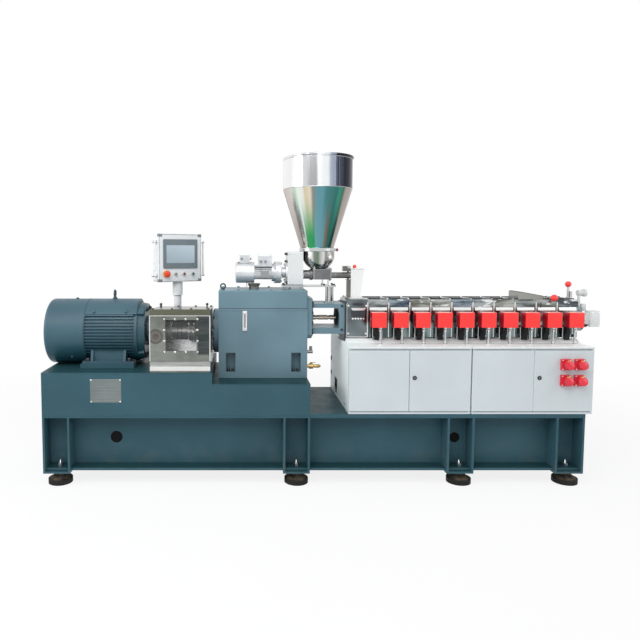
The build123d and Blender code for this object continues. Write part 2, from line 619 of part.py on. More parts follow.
with BuildPart() as cabinet_left:
    add(cabinet(CAB1_LEFT, CAB1_RIGHT, CAB1_MIDDLE))
    block(CAB1_LEFT - 1.0, CAB1_LEFT + SHEET + 1.0, 74.0, 194.0, DECK_TOP + LIP, 649.0, mode=Mode.SUBTRACT)
    bar_x(CAB1_LEFT - 1.0, CAB1_LEFT + SHEET + 1.0, 365.0, 764.0, 15.0, mode=Mode.SUBTRACT)
    bar_x(CAB1_LEFT - 1.0, CAB1_LEFT + SHEET + 1.0, 365.0, 653.0, 15.0, mode=Mode.SUBTRACT)
save(cabinet_left.part, "cabinet_left")
save(cabinet(CAB2_LEFT, CAB2_RIGHT, CAB2_MIDDLE), "cabinet_right")

DOOR_LOW = DECK_TOP + LIP + DOOR_GAP
DOOR_HIGH = CABINET_TOP - LIP - DOOR_GAP


def door(x0, x1, pin_x):
    """One leaf: a folded sheet tray, hung on two pins near its outer edge."""
    with BuildPart() as leaf:
        block(x0, x1, FRONT, FRONT + DOOR_THICK, DOOR_LOW, DOOR_HIGH)
        block(x0 + 25.0, x1 - 25.0, FRONT + SHEET, FRONT + DOOR_THICK, DOOR_LOW + 25.0, DOOR_HIGH - 25.0,
              mode=Mode.SUBTRACT)
        bar_z(pin_x, FRONT + PIN_IN, DOOR_LOW - 1.0, DOOR_LOW + 13.0, PIN_R + RUN, mode=Mode.SUBTRACT)
        bar_z(pin_x, FRONT + PIN_IN, DOOR_HIGH - 13.0, DOOR_HIGH + 1.0, PIN_R + RUN, mode=Mode.SUBTRACT)
    return leaf.part


save(door(CAB1_LEFT + 2.0, CAB1_MIDDLE - 3.0, CAB1_LEFT + PIN_IN), "door_1")
save(door(CAB1_MIDDLE + 3.0, CAB1_RIGHT - 2.0, CAB1_RIGHT - PIN_IN), "door_2")
save(door(CAB2_LEFT + 2.0, CAB2_MIDDLE - 3.0, CAB2_LEFT + PIN_IN), "door_3")
save(door(CAB2_MIDDLE + 3.0, CAB2_RIGHT - 2.0, CAB2_RIGHT - PIN_IN), "door_4")

with BuildPart() as power_sockets:
    for x in (1640.0, 1734.0):
        for z in (860.0, 749.0):
            block(x, x + 66.0, FRONT - 20.0, FRONT, z - 38.0, z + 38.0)
            with Locations(Location((x + 36.0, FRONT - 34.0, z - 4.0), (72, 0, 0))):
                Cylinder(27.0, 44.0)
                with Locations((0.0, 0.0, 20.0)):
                    Cylinder(31.0, 10.0)
save(power_sockets.part, "power_sockets")

# The feeder: stand, motor, gear box, cast housing, round bowl, open hopper, outlet tube, funnel

with BuildPart() as feeder_stand:
    block(-255.0, 145.0, -70.0, 70.0, 1372.0, 1384.0)
    block(-190.0, -95.0, -62.0, -30.0, GEAR_TOP, 1372.0)
    block(-190.0, -95.0, 30.0, 62.0, GEAR_TOP, 1372.0)
    bar_z(103.0, 0.0, LANTERN_HIGH, 1372.0, 27.0)
    bar_z(103.0, 0.0, LANTERN_HIGH, LANTERN_HIGH + 8.0, 40.0)
    profile_x(((-62.0, 1384.0), (62.0, 1384.0), (44.0, 1427.0), (-44.0, 1427.0)), 96.0, 108.0)
    block(-519.0, -511.0, -38.0, 38.0, GEAR_TOP, FEED_MOTOR_Z - FEED_MOTOR_R)
    bar_z(46.0, -52.0, 1384.0, 1427.0, 5.0)
save(feeder_stand.part, "feeder_stand")

with BuildPart() as feeder_motor:
    bar_x(-597.0, -460.0, 0.0, FEED_MOTOR_Z, FEED_MOTOR_R)
    fillet(feeder_motor.faces().sort_by(Axis.X)[0].edges(), 10.0)
    bar_x(-460.0, -328.0, 0.0, FEED_MOTOR_Z, 54.0)
    for i in range(7):
        z = FEED_MOTOR_Z + (i - 3) * 16.0
        block(-456.0, -330.0, -62.0, 62.0, z - 2.5, z + 2.5)
    bar_x(-328.0, -300.0, 0.0, FEED_MOTOR_Z, 66.0)
    bar_x(-300.0, -262.0, 0.0, FEED_MOTOR_Z, 80.0)
    bar_x(-262.0, -224.0, 0.0, FEED_MOTOR_Z, 40.0)
    bar_x(-224.0, -215.0, 0.0, FEED_MOTOR_Z, 78.0)
    block(-428.0, -328.0, -45.0, 45.0, 1526.0, 1608.0)
    block(-568.0, -494.0, -36.0, 36.0, 1548.0, 1614.0)
save(feeder_motor.part, "feeder_motor")

with BuildPart() as feeder_gearbox:
    block(-215.0, -100.0, -85.0, 85.0, 1384.0, 1634.0)
    fillet(feeder_gearbox.edges().filter_by(Axis.X), 12.0)
    fillet(feeder_gearbox.faces().sort_by(Axis.X)[0].edges(), 4.0)
save(feeder_gearbox.part, "feeder_gearbox")

with BuildPart() as feeder_housing:
    bar_x(-100.0, -40.0, 0.0, FEED_Z, 33.0)
    bar_x(-42.0, -24.0, 0.0, FEED_Z, 42.0)
    profile_x(((-58.0, 1427.0), (58.0, 1427.0), (66.0, 1505.0), (-66.0, 1505.0)), -24.0, 112.0)
save(feeder_housing.part, "feeder_housing")

BOWL_LOW = 1505.0
BOWL_HIGH = 1634.0
with BuildPart() as feed_bowl:
    with BuildSketch(Plane.XZ) as outline:
        with BuildLine():
            Polyline((0.0, BOWL_HIGH), (0.0, BOWL_LOW), (52.0, BOWL_LOW))
            ThreePointArc((52.0, BOWL_LOW), (96.0, 1540.0), (118.0, 1596.0))
            Polyline((118.0, 1596.0), (118.0, BOWL_HIGH), (0.0, BOWL_HIGH))
        make_face()
    revolve(outline.sketch, axis=Axis.Z)
    with BuildSketch(Plane.XZ) as hollow:
        with BuildLine():
            Polyline((0.0, BOWL_HIGH + 5.0), (0.0, BOWL_LOW + 8.0), (46.0, BOWL_LOW + 8.0))
            ThreePointArc((46.0, BOWL_LOW + 8.0), (88.0, 1545.0), (109.0, 1598.0))
            Polyline((109.0, 1598.0), (109.0, BOWL_HIGH + 5.0), (0.0, BOWL_HIGH + 5.0))
        make_face()
    revolve(hollow.sketch, axis=Axis.Z, mode=Mode.SUBTRACT)
    bar_x(-121.0, -116.0, 0.0, 1592.0, 40.0)
    bar_x(-118.0, -104.0, 0.0, 1592.0, 26.0)
save(feed_bowl.part.moved(Location((BOWL_X, 0, 0))), "feed_bowl")

with BuildPart() as outlet_tube:
    bar_x(112.0, FUNNEL_LEFT, 0.0, TUBE_Z, 22.5)
    bar_x(112.0, 118.0, 0.0, TUBE_Z, 36.0)
    bar_x(238.0, 250.0, 0.0, TUBE_Z, TUBE_FLANGE_R)
save(outlet_tube.part, "outlet_tube")

HOPPER_TOP = 2318.0
HOPPER_LOW = 1634.0
COLLAR_HIGH = 1660.0
CONE_SHARE = 0.67
HOPPER_EDGE = HOPPER_LOW + (HOPPER_TOP - HOPPER_LOW) * CONE_SHARE
with BuildPart() as hopper:
    with BuildSketch(Plane.XZ) as outer_half:
        with BuildLine():
            Polyline((0.0, HOPPER_LOW), (127.0, HOPPER_LOW), (127.0, COLLAR_HIGH), (122.0, COLLAR_HIGH),
                     (254.0, HOPPER_EDGE), (254.0, HOPPER_TOP), (0.0, HOPPER_TOP), close=True)
        make_face()
    revolve(outer_half.sketch, axis=Axis.Z)
    with BuildSketch(Plane.XZ) as inner_half:
        with BuildLine():
            Polyline((0.0, HOPPER_LOW - 5.0), (112.0, HOPPER_LOW - 5.0), (112.0, COLLAR_HIGH),
                     (246.0, HOPPER_EDGE + 1.0), (246.0, HOPPER_TOP + 5.0), (0.0, HOPPER_TOP + 5.0), close=True)
        make_face()
    revolve(inner_half.sketch, axis=Axis.Z, mode=Mode.SUBTRACT)
    with Locations((0.0, 0.0, HOPPER_TOP)):
        Torus(255.0, 8.0)
    bar_x(120.0, 140.0, 0.0, 1647.0, 6.0)
    ball(148.0, 0.0, 1647.0, 11.0)
save(hopper.part.moved(Location((HOPPER_X, 0, 0))), "hopper")

with BuildPart() as funnel:
    profile_y(((FUNNEL_LEFT, FUNNEL_LOW), (FUNNEL_LEFT, FUNNEL_HIGH), (FUNNEL_RIGHT, FUNNEL_HIGH),
               (FUNNEL_FOOT, FUNNEL_LOW)), -42.0, 42.0)
    profile_y(((FUNNEL_LEFT + FUNNEL_WALL, FUNNEL_LOW - 5.0), (FUNNEL_LEFT + FUNNEL_WALL, FUNNEL_HIGH - FUNNEL_WALL),
               (FUNNEL_RIGHT - FUNNEL_WALL - 1.0, FUNNEL_HIGH - FUNNEL_WALL),
               (FUNNEL_FOOT - FUNNEL_WALL - 1.0, FUNNEL_LOW - 5.0)), -38.0, 38.0, mode=Mode.SUBTRACT)
    bar_x(FUNNEL_LEFT - 5.0, FUNNEL_LEFT + 9.0, 0.0, TUBE_Z, 18.0, mode=Mode.SUBTRACT)
    bar_z(KNOB_X, 0.0, FUNNEL_HIGH - 1.0, FUNNEL_HIGH + 4.0, 8.0)
save(funnel.part, "funnel")

with BuildPart() as funnel_bracket:
    block(234.0, FUNNEL_LEFT, -13.0, 13.0, COVER_TOP, TUBE_Z - 34.0)
    block(228.0, FUNNEL_LEFT, -20.0, 20.0, TUBE_Z - 34.0, TUBE_Z - TUBE_FLANGE_R)
    block(203.0, FUNNEL_LEFT, -22.0, 22.0, TUBE_Z + TUBE_FLANGE_R, 1526.0)
    block(213.0, 234.0, -60.0, 60.0, COVER_TOP, COVER_TOP + 10.0)
save(funnel_bracket.part, "funnel_bracket")

# The operator panel on its pole, turned towards the operator's place


def yawed(shape):
    """Turn a piece of the operator panel from straight ahead to where it is parked."""
    return shape.rotate(Axis((PANEL_X, PANEL_Y, 0), (0, 0, 1)), PANEL_YAW)


with BuildPart() as panel_pole:
    bar_z(PANEL_X, PANEL_Y, BED_TOP, 1360.0, POLE_R)
    block(PANEL_X - 70.0, PANEL_X + 70.0, PANEL_Y - 70.0, PANEL_Y + 70.0, BED_TOP, BED_TOP + 12.0)
save(panel_pole.part, "panel_pole")

FACE_Y = PANEL_Y - PANEL_D / 2
with BuildPart() as panel_box:
    block(PANEL_X - PANEL_W / 2, PANEL_X + PANEL_W / 2, FACE_Y, PANEL_Y + PANEL_D / 2, PANEL_LOW, PANEL_HIGH)
    fillet(panel_box.edges().filter_by(Axis.Y), 16.0)
    bar_z(PANEL_X, PANEL_Y, 1294.0, PANEL_LOW + 1.0, 39.0)
    bar_z(PANEL_X, PANEL_Y, 1290.0, 1366.0, POLE_R + RUN, mode=Mode.SUBTRACT)
save(yawed(panel_box.part), "panel_box")

with BuildPart() as panel_screen:
    block(PANEL_X - 143.0, PANEL_X + 143.0, FACE_Y - 7.0, FACE_Y, 1504.0, 1728.0)
    fillet(panel_screen.edges().filter_by(Axis.Y), 8.0)
save(yawed(panel_screen.part), "panel_screen")

with BuildPart() as panel_handles:
    for side in (-1, 1):
        edge = PANEL_X + side * PANEL_W / 2
        x = edge + side * 34.0
        bar_z(x, PANEL_Y - 20.0, 1440.0, 1715.0, 8.0)
        for z in (1448.0, 1707.0):
            bar_x(min(x, edge), max(x, edge), PANEL_Y - 20.0, z, 8.0)
save(yawed(panel_handles.part), "panel_handles")

with BuildPart() as panel_buttons:
    for offset in (-118.0, -42.0, 28.0, 104.0):
        bar_y(PANEL_X + offset, FACE_Y - 12.0, FACE_Y, 1462.0, 14.0)
    bar_y(PANEL_X - 118.0, FACE_Y - 26.0, FACE_Y - 12.0, 1462.0, 22.0)
save(yawed(panel_buttons.part), "panel_buttons")
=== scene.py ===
"""Looks of the twin-screw plastic extruder: finishes, small parts, floor, light and camera.

Sizes are millimetres in the machine's modelling frame, which place() turns into the frame of the solids.
"""

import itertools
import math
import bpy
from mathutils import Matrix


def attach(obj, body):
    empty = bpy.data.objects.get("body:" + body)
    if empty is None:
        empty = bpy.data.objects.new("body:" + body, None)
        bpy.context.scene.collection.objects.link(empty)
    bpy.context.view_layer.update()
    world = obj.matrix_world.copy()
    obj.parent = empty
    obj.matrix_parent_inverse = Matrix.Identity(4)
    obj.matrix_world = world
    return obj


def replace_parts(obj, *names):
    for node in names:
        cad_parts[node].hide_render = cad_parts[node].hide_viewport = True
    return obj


bl_info = {
    "name": "Twin-screw extruder",
    "version": (1, 0, 0),
    "blender": (4, 5, 0),
    "location": "View3D > Sidebar > Extruder",
    "description": "Dresses the solids of a twin-screw plastic extruder with finishes and small parts",
    "category": "Object",
}

import bmesh
import bpy
from mathutils import Matrix, Vector

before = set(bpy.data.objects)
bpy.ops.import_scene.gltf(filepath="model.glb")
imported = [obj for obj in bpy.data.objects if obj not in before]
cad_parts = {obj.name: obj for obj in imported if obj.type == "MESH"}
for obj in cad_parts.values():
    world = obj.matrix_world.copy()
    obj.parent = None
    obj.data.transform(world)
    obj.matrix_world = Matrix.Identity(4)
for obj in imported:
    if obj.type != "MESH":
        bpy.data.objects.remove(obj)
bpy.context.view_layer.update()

# Place of the modelling frame in the machine's frame, millimetres
SHIFT = Vector((-23, 33.68, 0))
MM = 0.001

# Ways that a part can face
LEFT, RIGHT = (-1, 0, 0), (1, 0, 0)
OUT, IN = (0, -1, 0), (0, 1, 0)
UP = (0, 0, 1)
SIDES = (-1, 1)

# Drive line
FRONT = -400
MOTOR_Z = 1041
COWL_R = 240
COWL_LEFT = -1975
GUARD_FACE = -388
GUARD_FOLD = 1194.5
GEAR_LEFT = -720
GEAR_RIGHT = -78
GEAR_HALF = 195
GEAR_SPLIT = 1225
GEAR_TOP = 1356
SCREW_Y = 19
SCREW_Z = 1140

# Barrel row: covers, junction boxes, and the row's step
BARREL_START = 366
PITCH = 153.3
SECTIONS = 10
COVER_HALF = 140
COVER_LOW = 1008
COVER_TOP = 1285
BOX_LEFT = 359
BOX_WIDE = 103
BOX_FRONT = -320
BOX_BACK = -246
BOX_LOW = 1102
BOX_HIGH = 1208

# Feeder and operator panel
FEED_MOTOR_Z = 1478
HOPPER_X = 12
BOWL_X = 22
BOWL_Z = 1592
PANEL_X = -1055
PANEL_Y = 200
PANEL_YAW = 30
PANEL_FACE = 144

# Edges that turn by less than this are shaded smooth
SMOOTH_BELOW = math.radians(35)


class ExtruderColours(bpy.types.PropertyGroup):
    """Colours of the machine's finishes."""

    base_paint: bpy.props.FloatVectorProperty(
        name="Base paint", description="Enamel of the frame and the legs", subtype="COLOR",
        size=3, min=0.0, max=1.0, default=(0.037, 0.096, 0.122))
    drive_paint: bpy.props.FloatVectorProperty(
        name="Gearbox paint", description="Enamel of the gearbox and lantern", subtype="COLOR",
        size=3, min=0.0, max=1.0, default=(0.132, 0.220, 0.264))
    motor_paint: bpy.props.FloatVectorProperty(
        name="Motor paint", description="Enamel of the main motor", subtype="COLOR",
        size=3, min=0.0, max=1.0, default=(0.051, 0.106, 0.136))
    cabinet_paint: bpy.props.FloatVectorProperty(
        name="Cabinet paint", description="Powder coat of the cabinets and doors", subtype="COLOR",
        size=3, min=0.0, max=1.0, default=(0.565, 0.620, 0.645))
    box_red: bpy.props.FloatVectorProperty(
        name="Box red", description="Red of the junction boxes and the lever balls", subtype="COLOR",
        size=3, min=0.0, max=1.0, default=(0.960, 0.045, 0.042))
    polished: bpy.props.FloatVectorProperty(
        name="Polished steel", description="Tint of the polished stainless sheet", subtype="COLOR",
        size=3, min=0.0, max=1.0, default=(0.560, 0.575, 0.575))


class ExtruderSizes(bpy.types.PropertyGroup):
    """Sizes of the small parts."""

    screw_radius: bpy.props.FloatProperty(
        name="Screw head", description="Radius of the small screw heads", unit="LENGTH",
        min=0.002, max=0.02, default=0.0065)
    bolt_radius: bpy.props.FloatProperty(
        name="Bolt head", description="Radius of the machine bolts", unit="LENGTH",
        min=0.005, max=0.04, default=0.014)
    divider_width: bpy.props.FloatProperty(
        name="Divider width", description="Width of the strips between the barrel covers", unit="LENGTH",
        min=0.004, max=0.02, default=0.009)
    sections: bpy.props.IntProperty(
        name="Barrel sections", description="Number of heated barrel sections",
        min=1, max=20, default=SECTIONS)


class ExtruderStage(bpy.types.PropertyGroup):
    """Camera, floor and light."""

    lens: bpy.props.FloatProperty(
        name="Lens", description="Focal length of the camera in millimetres",
        min=10.0, max=200.0, default=32.4)
    eye_height: bpy.props.FloatProperty(
        name="Eye height", description="Height of the camera above the floor", unit="LENGTH",
        min=0.1, max=5.0, default=1.6378)
    floor_shade: bpy.props.FloatProperty(
        name="Floor shade", description="Lightness of the floor", subtype="FACTOR",
        min=0.0, max=1.0, default=0.86)
    key_power: bpy.props.FloatProperty(
        name="Key lamp", description="Power of the large lamp above the operator's side",
        min=0.0, max=5000.0, default=238.0)
    fill_power: bpy.props.FloatProperty(
        name="Fill lamps", description="Power of the two side lamps",
        min=0.0, max=5000.0, default=86.0)
    sky: bpy.props.FloatProperty(
        name="Room light", description="Strength of the even light of the room",
        min=0.0, max=3.0, default=0.45)


def place(point):
    """A point of the modelling frame, in metres in the frame of the solids."""
    return (Vector(point) + SHIFT) * MM


def on_panel(point):
    """A point drawn on the panel as if it faced the front, placed where the panel is parked."""
    pivot = Vector((PANEL_X, PANEL_Y, 0))
    return place(Matrix.Rotation(math.radians(PANEL_YAW), 3, "Z") @ (Vector(point) - pivot) + pivot)


# How the points of a body's pieces are placed, where not as the machine's
PLACING = {"operator_panel": on_panel}


class Wire:
    """One value on its way through a node tree, so that its maths reads as plain sums."""

    def __init__(self, nodes, socket):
        self.nodes = nodes
        self.socket = socket

    def maths(self, operation, *values):
        return self.nodes.node("ShaderNodeMath", {"operation": operation}, dict(enumerate(values)))

    def __add__(self, other):
        return self.maths("ADD", self, other)

    __radd__ = __add__

    def __sub__(self, other):
        return self.maths("SUBTRACT", self, other)

    def __rsub__(self, other):
        return self.maths("SUBTRACT", other, self)

    def __mul__(self, other):
        return self.maths("MULTIPLY", self, other)

    __rmul__ = __mul__

    def __truediv__(self, other):
        return self.maths("DIVIDE", self, other)

    def size(self):
        return self.maths("ABSOLUTE", self)


class Nodes:
    """A node tree in the making."""

    def __init__(self, tree):
        self.tree = tree
        tree.nodes.clear()

    def node(self, kind, settings=None, values=None, out=0):
        """One node: its settings first, then the value, link or list of links of each named socket."""
        made = self.tree.nodes.new(kind)
        for key, value in (settings or {}).items():
            if key == "stops":
                stops = made.color_ramp.elements
                while len(stops) < len(value):
                    stops.new(0.5)
                for stop, (position, colour) in zip(stops, value):
                    stop.position = position
                    stop.color = (*colour, 1)
            else:
                setattr(made, key, value)
        for key, value in (values or {}).items():
            for one in value if isinstance(value, list) else [value]:
                if isinstance(one, Wire):
                    self.tree.links.new(one.socket, made.inputs[key])
                else:
                    made.inputs[key].default_value = one
        return Wire(self, made.outputs[out]) if made.outputs else None


class Finish(Nodes):
    """A procedural material in the making."""

    def __init__(self, name):
        self.material = bpy.data.materials.new(name)
        self.material.use_nodes = True
        super().__init__(self.material.node_tree)
        self.point = self.node("ShaderNodeTexCoord", out="Object")

    def noise(self, scale, detail=3, rough=0.55, stretch=None):
        """Noise over the piece; stretch is how much each axis is scaled, for grain that runs one way."""
        point = self.point
        if stretch:
            point = self.node("ShaderNodeMapping", None, {"Vector": point, "Scale": stretch})
        return self.node("ShaderNodeTexNoise", None, {
            "Vector": point, "Scale": scale, "Detail": detail, "Roughness": rough})

    def ramp(self, value, low, high, to_low=0, to_high=1):
        return self.node("ShaderNodeMapRange", {"interpolation_type": "SMOOTHSTEP"}, {
            "Value": value, "From Min": low, "From Max": high, "To Min": to_low, "To Max": to_high})

    def clouds(self, scale, detail, low=0, high=1):
        """Soft clouds of values from low to high."""
        return self.ramp(self.noise(scale, detail), 0.3, 0.7, low, high)

    def mottled(self, colour, scale, detail, darker, lighter):
        """A colour in soft clouds of its own darker and lighter shade."""
        return self.blend(self.clouds(scale, detail), shade(colour, darker), shade(colour, lighter))

    def axis(self, letter, vector=None):
        """One coordinate of a vector, or else of the point on the piece."""
        return self.node("ShaderNodeSeparateXYZ", None, {"Vector": vector or self.point}, "XYZ".index(letter))

    def facing(self, letter):
        """How far the surface faces along an axis, from -1 to 1."""
        return self.axis(letter, self.node("ShaderNodeNewGeometry", out="Normal"))

    def blend(self, share, first, second):
        """Colour that goes from first to second as share goes from 0 to 1."""
        first, second = (value if isinstance(value, Wire) else (*value[:3], 1) for value in (first, second))
        return self.node("ShaderNodeMix", {"data_type": "RGBA"}, {0: share, 6: first, 7: second}, 2)

    def bump(self, height, strength, distance):
        return self.node("ShaderNodeBump", None, {
            "Height": height, "Strength": strength, "Distance": distance})

    def surface(self, **values):
        """The material with its shader, whose sockets are named by keyword."""
        names = {key.replace("_", " "): value for key, value in values.items()}
        return self.end(self.node("ShaderNodeBsdfPrincipled", None, names))

    def end(self, shader):
        self.node("ShaderNodeOutputMaterial", None, {"Surface": shader})
        return self.material


def shade(colour, factor):
    return tuple(min(1, channel * factor) for channel in tuple(colour)[:3])


def enamel(name, colour, gloss=0.36, dust=0, sheen=0.30, under=None, over=None):
    """Sprayed enamel: faint orange peel, cloudy tone, dust low down, painted shade underneath and on top."""
    made = Finish(name)
    tone = made.mottled(colour, 2.2, 4, 0.90, 1.10)
    tone = made.blend(made.ramp(made.noise(55, 2), 0.66, 0.74) * 0.25, tone, shade(colour, 1.6))
    if dust:
        low = made.ramp(made.axis("Z"), 0.10, 0.34, 1, 0)
        grime = made.ramp(made.noise(9, 5), 0.40, 0.75)
        tone = made.blend(low * grime * dust, tone, (0.105, 0.125, 0.130))
    # Painted shade: faces that turn downwards are darkened towards the under tone.
    if under:
        tone = made.blend(made.ramp(made.facing("Z"), -0.75, 0.30, 1, 0), tone, under)
    # Painted shade: faces that turn upwards are darkened towards the over tone.
    if over:
        tone = made.blend(made.ramp(made.facing("Z"), 0.60, 0.95), tone, over)
    return made.surface(Base_Color=tone, Roughness=made.clouds(6, 4, gloss - 0.05, gloss + 0.09),
                        Specular_IOR_Level=sheen, Normal=made.bump(made.noise(240, 2), 0.06, 0.002))


def powder_coat(name, colour, painted_side_light=1):
    """Textured powder coat: fine even grain and slight handling marks; the last value is painted light that
    lightens the narrow sides.
    """
    made = Finish(name)
    marks = made.ramp(made.noise(14, 5, stretch=(1, 1, 0.25)), 0.62, 0.80)
    tone = made.blend(marks * 0.14, made.mottled(colour, 1.6, 3, 0.96, 1.03), shade(colour, 0.78))
    # Painted light: faces that turn along X are lightened by the last value.
    if painted_side_light != 1:
        tone = made.blend(made.ramp(made.facing("X").size(), 0.4, 0.8), tone, shade(colour, painted_side_light))
    return made.surface(Base_Color=tone, Roughness=made.ramp(marks, 0, 1, 0.42, 0.55),
                        Normal=made.bump(made.noise(620, 2), 0.10, 0.001))


def rolled_steel(name, colour, grain, rough=0.18, contrast=0.10):
    """Stainless sheet with fine lines along one axis; grain is how much each axis is stretched."""
    made = Finish(name)
    lines = made.noise(60, 4, stretch=grain)
    tone = made.mottled(colour, 3, 3, 1 - contrast, 1 + contrast)
    tone = made.blend(made.ramp(lines, 0.35, 0.65) * 0.3, tone, shade(colour, 0.80))
    return made.surface(Base_Color=tone, Metallic=1,
                        Roughness=made.ramp(lines, 0.3, 0.7, rough, rough + 0.10),
                        Normal=made.bump(lines, 0.05, 0.001))


def guard_sheet(name, colour, top):
    """Sheet of the coupling guard, with painted reflections: a darker tone on the sloping top, soft shapes of
    the room below.
    """
    made = Finish(name)
    lines = made.noise(60, 4, stretch=(0.06, 1, 1))
    across, height = made.axis("X"), made.axis("Z")
    wander = (made.noise(6, 2) - 0.5) * 0.05
    # Painted reflection: soft patches of lighter and darker sheet.
    reflection_patches = made.ramp(made.noise(4.2, 3), 0.32, 0.68)
    tone = made.blend(reflection_patches, shade(colour, 0.66), shade(colour, 1.30))
    # Painted reflection: a dark shape over the upper right part of the face.
    right = made.ramp(across + wander, -0.888, -0.872) * made.ramp(height + wander, 0.905, 0.930)
    tone = made.blend(right * 0.85, tone, (0.022, 0.034, 0.038))
    # Painted reflection: a dark disc with a paler halo round one point of the face.
    centre = tuple(place((-1146, GUARD_FACE, 1050)))
    away = made.node("ShaderNodeVectorMath", {"operation": "DISTANCE"}, {0: made.point, 1: centre}, 1)
    disc_reflection = made.ramp(away + wander * 0.3, 0.045, 0.058, 1, 0)
    tone = made.blend(disc_reflection * 0.7, tone, (0.060, 0.050, 0.044))
    halo_reflection = made.ramp(away, 0.020, 0.026) * made.ramp(away, 0.034, 0.040, 1, 0)
    tone = made.blend(halo_reflection * 0.45, tone, (0.30, 0.25, 0.20))
    # Painted reflection: a pale band low down.
    low = made.ramp(height + wander * 0.3, 0.868, 0.880, 1, 0) * made.ramp(height, 0.842, 0.846)
    tone = made.blend(low * 0.8, tone, (0.50, 0.51, 0.50))
    tone = made.blend(made.ramp(lines, 0.35, 0.65) * 0.3, tone, shade(colour, 0.75))
    # Painted reflection: the sloping top above the fold takes its own darker tone.
    tone = made.blend(made.ramp(height, (GUARD_FOLD - 1) * MM, (GUARD_FOLD + 1) * MM), tone, top)
    return made.surface(Base_Color=tone, Metallic=1, Roughness=made.ramp(lines, 0.3, 0.7, 0.15, 0.25),
                        Normal=made.bump(lines, 0.05, 0.001))


def mirror_cover(name, low, high, mark):
    """Polished sheet of the barrel covers, with painted reflections of the room: each cover has its own
    painted tones above and below its fold.
    """
    made = Finish(name)
    section = (made.axis("X") - place((BARREL_START, 0, 0)).x) / (PITCH * MM)
    own = made.node("ShaderNodeTexWhiteNoise", {"noise_dimensions": "1D"}, {
        "W": section.maths("FLOOR", section)})
    level = made.axis("Z") + (made.noise(5, 2, stretch=(1, 1, 2)) - 0.5) * 0.022
    # Painted reflection below the fold: patches and streaks of the room in the sheet.
    reflection_patch = made.ramp(made.noise(7, 2, stretch=(1, 1, 0.35)), 0.40, 0.62)
    reflection_streak = made.ramp(made.noise(26, 3, stretch=(1, 1, 0.12)), 0.58, 0.70)
    lower = made.blend(reflection_patch, shade(low, 0.55), shade(low, 1.9))
    lower = made.blend(reflection_streak * 0.6, lower, shade(mark, 0.62))
    # Painted reflection above the fold: a tone of its own for each section, soft clouds of it, and pale
    # flashes.
    section_reflection = made.ramp(own, 0.35, 0.75)
    reflection_clouds = made.ramp(made.noise(16, 3, stretch=(0.35, 1, 1.5)), 0.36, 0.66)
    upper = made.blend(reflection_clouds, made.blend(section_reflection, high, (0.130, 0.135, 0.115)),
                       made.blend(section_reflection, (0.310, 0.375, 0.425), (0.450, 0.465, 0.440)))
    reflection_flash = made.ramp(made.noise(21, 2, stretch=(0.45, 1, 1.4)) + own * 0.06, 0.64, 0.69)
    upper = made.blend(reflection_flash * 0.85, upper, mark)
    lines = made.noise(70, 3, stretch=(0.1, 1, 1))
    return made.surface(Base_Color=made.blend(made.ramp(level, 1.224, 1.236), lower, upper), Metallic=1,
                        Roughness=made.ramp(lines, 0.3, 0.7, 0.14, 0.22),
                        Normal=made.bump(made.noise(11, 2), 0.22, 0.004))


def box_enamel(name, colour):
    """Gloss red of the junction boxes: painted shade on the narrow sides, an uneven painted highlight on top.
    """
    made = Finish(name)
    side = made.ramp(made.facing("X").size(), 0.35, 0.75)
    top = made.ramp(made.facing("Z"), 0.35, 0.75)
    highlight_breakup = made.ramp(made.noise(24, 3), 0.30, 0.60)
    # Painted shade: the narrow sides turn deep red.
    tone = made.blend(side, made.mottled(colour, 7, 3, 0.95, 1.04), (0.36, 0.004, 0.016))
    # Painted highlight: upward faces turn pale, unevenly.
    tone = made.blend(top * (highlight_breakup * 0.4 + 0.5), tone, (0.92, 0.52, 0.46))
    return made.surface(Base_Color=tone, Roughness=made.clouds(16, 3, 0.26, 0.34), Specular_IOR_Level=0.35,
                        Normal=made.bump(made.noise(300, 2), 0.03, 0.001))


# Painted reflections of the room on the polished hopper, from the back over the left side, the front and the
# right side, as (share of the way round, tone): the upright wall, the cone under it, the cone's lower end,
# the round bowl
WALL_BANDS = (
    (0.00, (0.55, 0.57, 0.58)), (0.16, (0.30, 0.32, 0.34)), (0.24, (0.92, 0.92, 0.92)),
    (0.355, (0.88, 0.88, 0.88)), (0.372, (0.62, 0.63, 0.63)), (0.43, (0.60, 0.61, 0.62)),
    (0.447, (0.38, 0.39, 0.40)), (0.474, (0.38, 0.39, 0.40)), (0.480, (0.92, 0.93, 0.94)),
    (0.526, (0.86, 0.89, 0.92)), (0.536, (0.42, 0.48, 0.56)), (0.556, (0.26, 0.30, 0.37)),
    (0.564, (0.010, 0.013, 0.022)), (0.70, (0.014, 0.016, 0.024)), (0.78, (0.60, 0.61, 0.62)),
    (1.00, (0.55, 0.57, 0.58)))
CONE_BANDS = (
    (0.00, (0.50, 0.51, 0.51)), (0.17, (0.26, 0.25, 0.24)), (0.25, (0.44, 0.38, 0.35)),
    (0.325, (0.66, 0.60, 0.56)), (0.350, (0.74, 0.70, 0.66)), (0.364, (0.42, 0.72, 0.48)),
    (0.376, (0.84, 0.88, 0.84)), (0.408, (0.80, 0.84, 0.78)), (0.420, (0.66, 0.58, 0.38)),
    (0.444, (0.76, 0.70, 0.58)), (0.456, (0.28, 0.24, 0.18)), (0.472, (0.13, 0.31, 0.37)),
    (0.500, (0.12, 0.31, 0.36)), (0.522, (0.060, 0.21, 0.22)), (0.575, (0.028, 0.16, 0.14)),
    (0.592, (0.050, 0.27, 0.18)), (0.610, (0.035, 0.13, 0.10)), (0.630, (0.38, 0.33, 0.30)),
    (0.76, (0.24, 0.22, 0.21)), (0.84, (0.60, 0.61, 0.61)), (1.00, (0.50, 0.51, 0.51)))
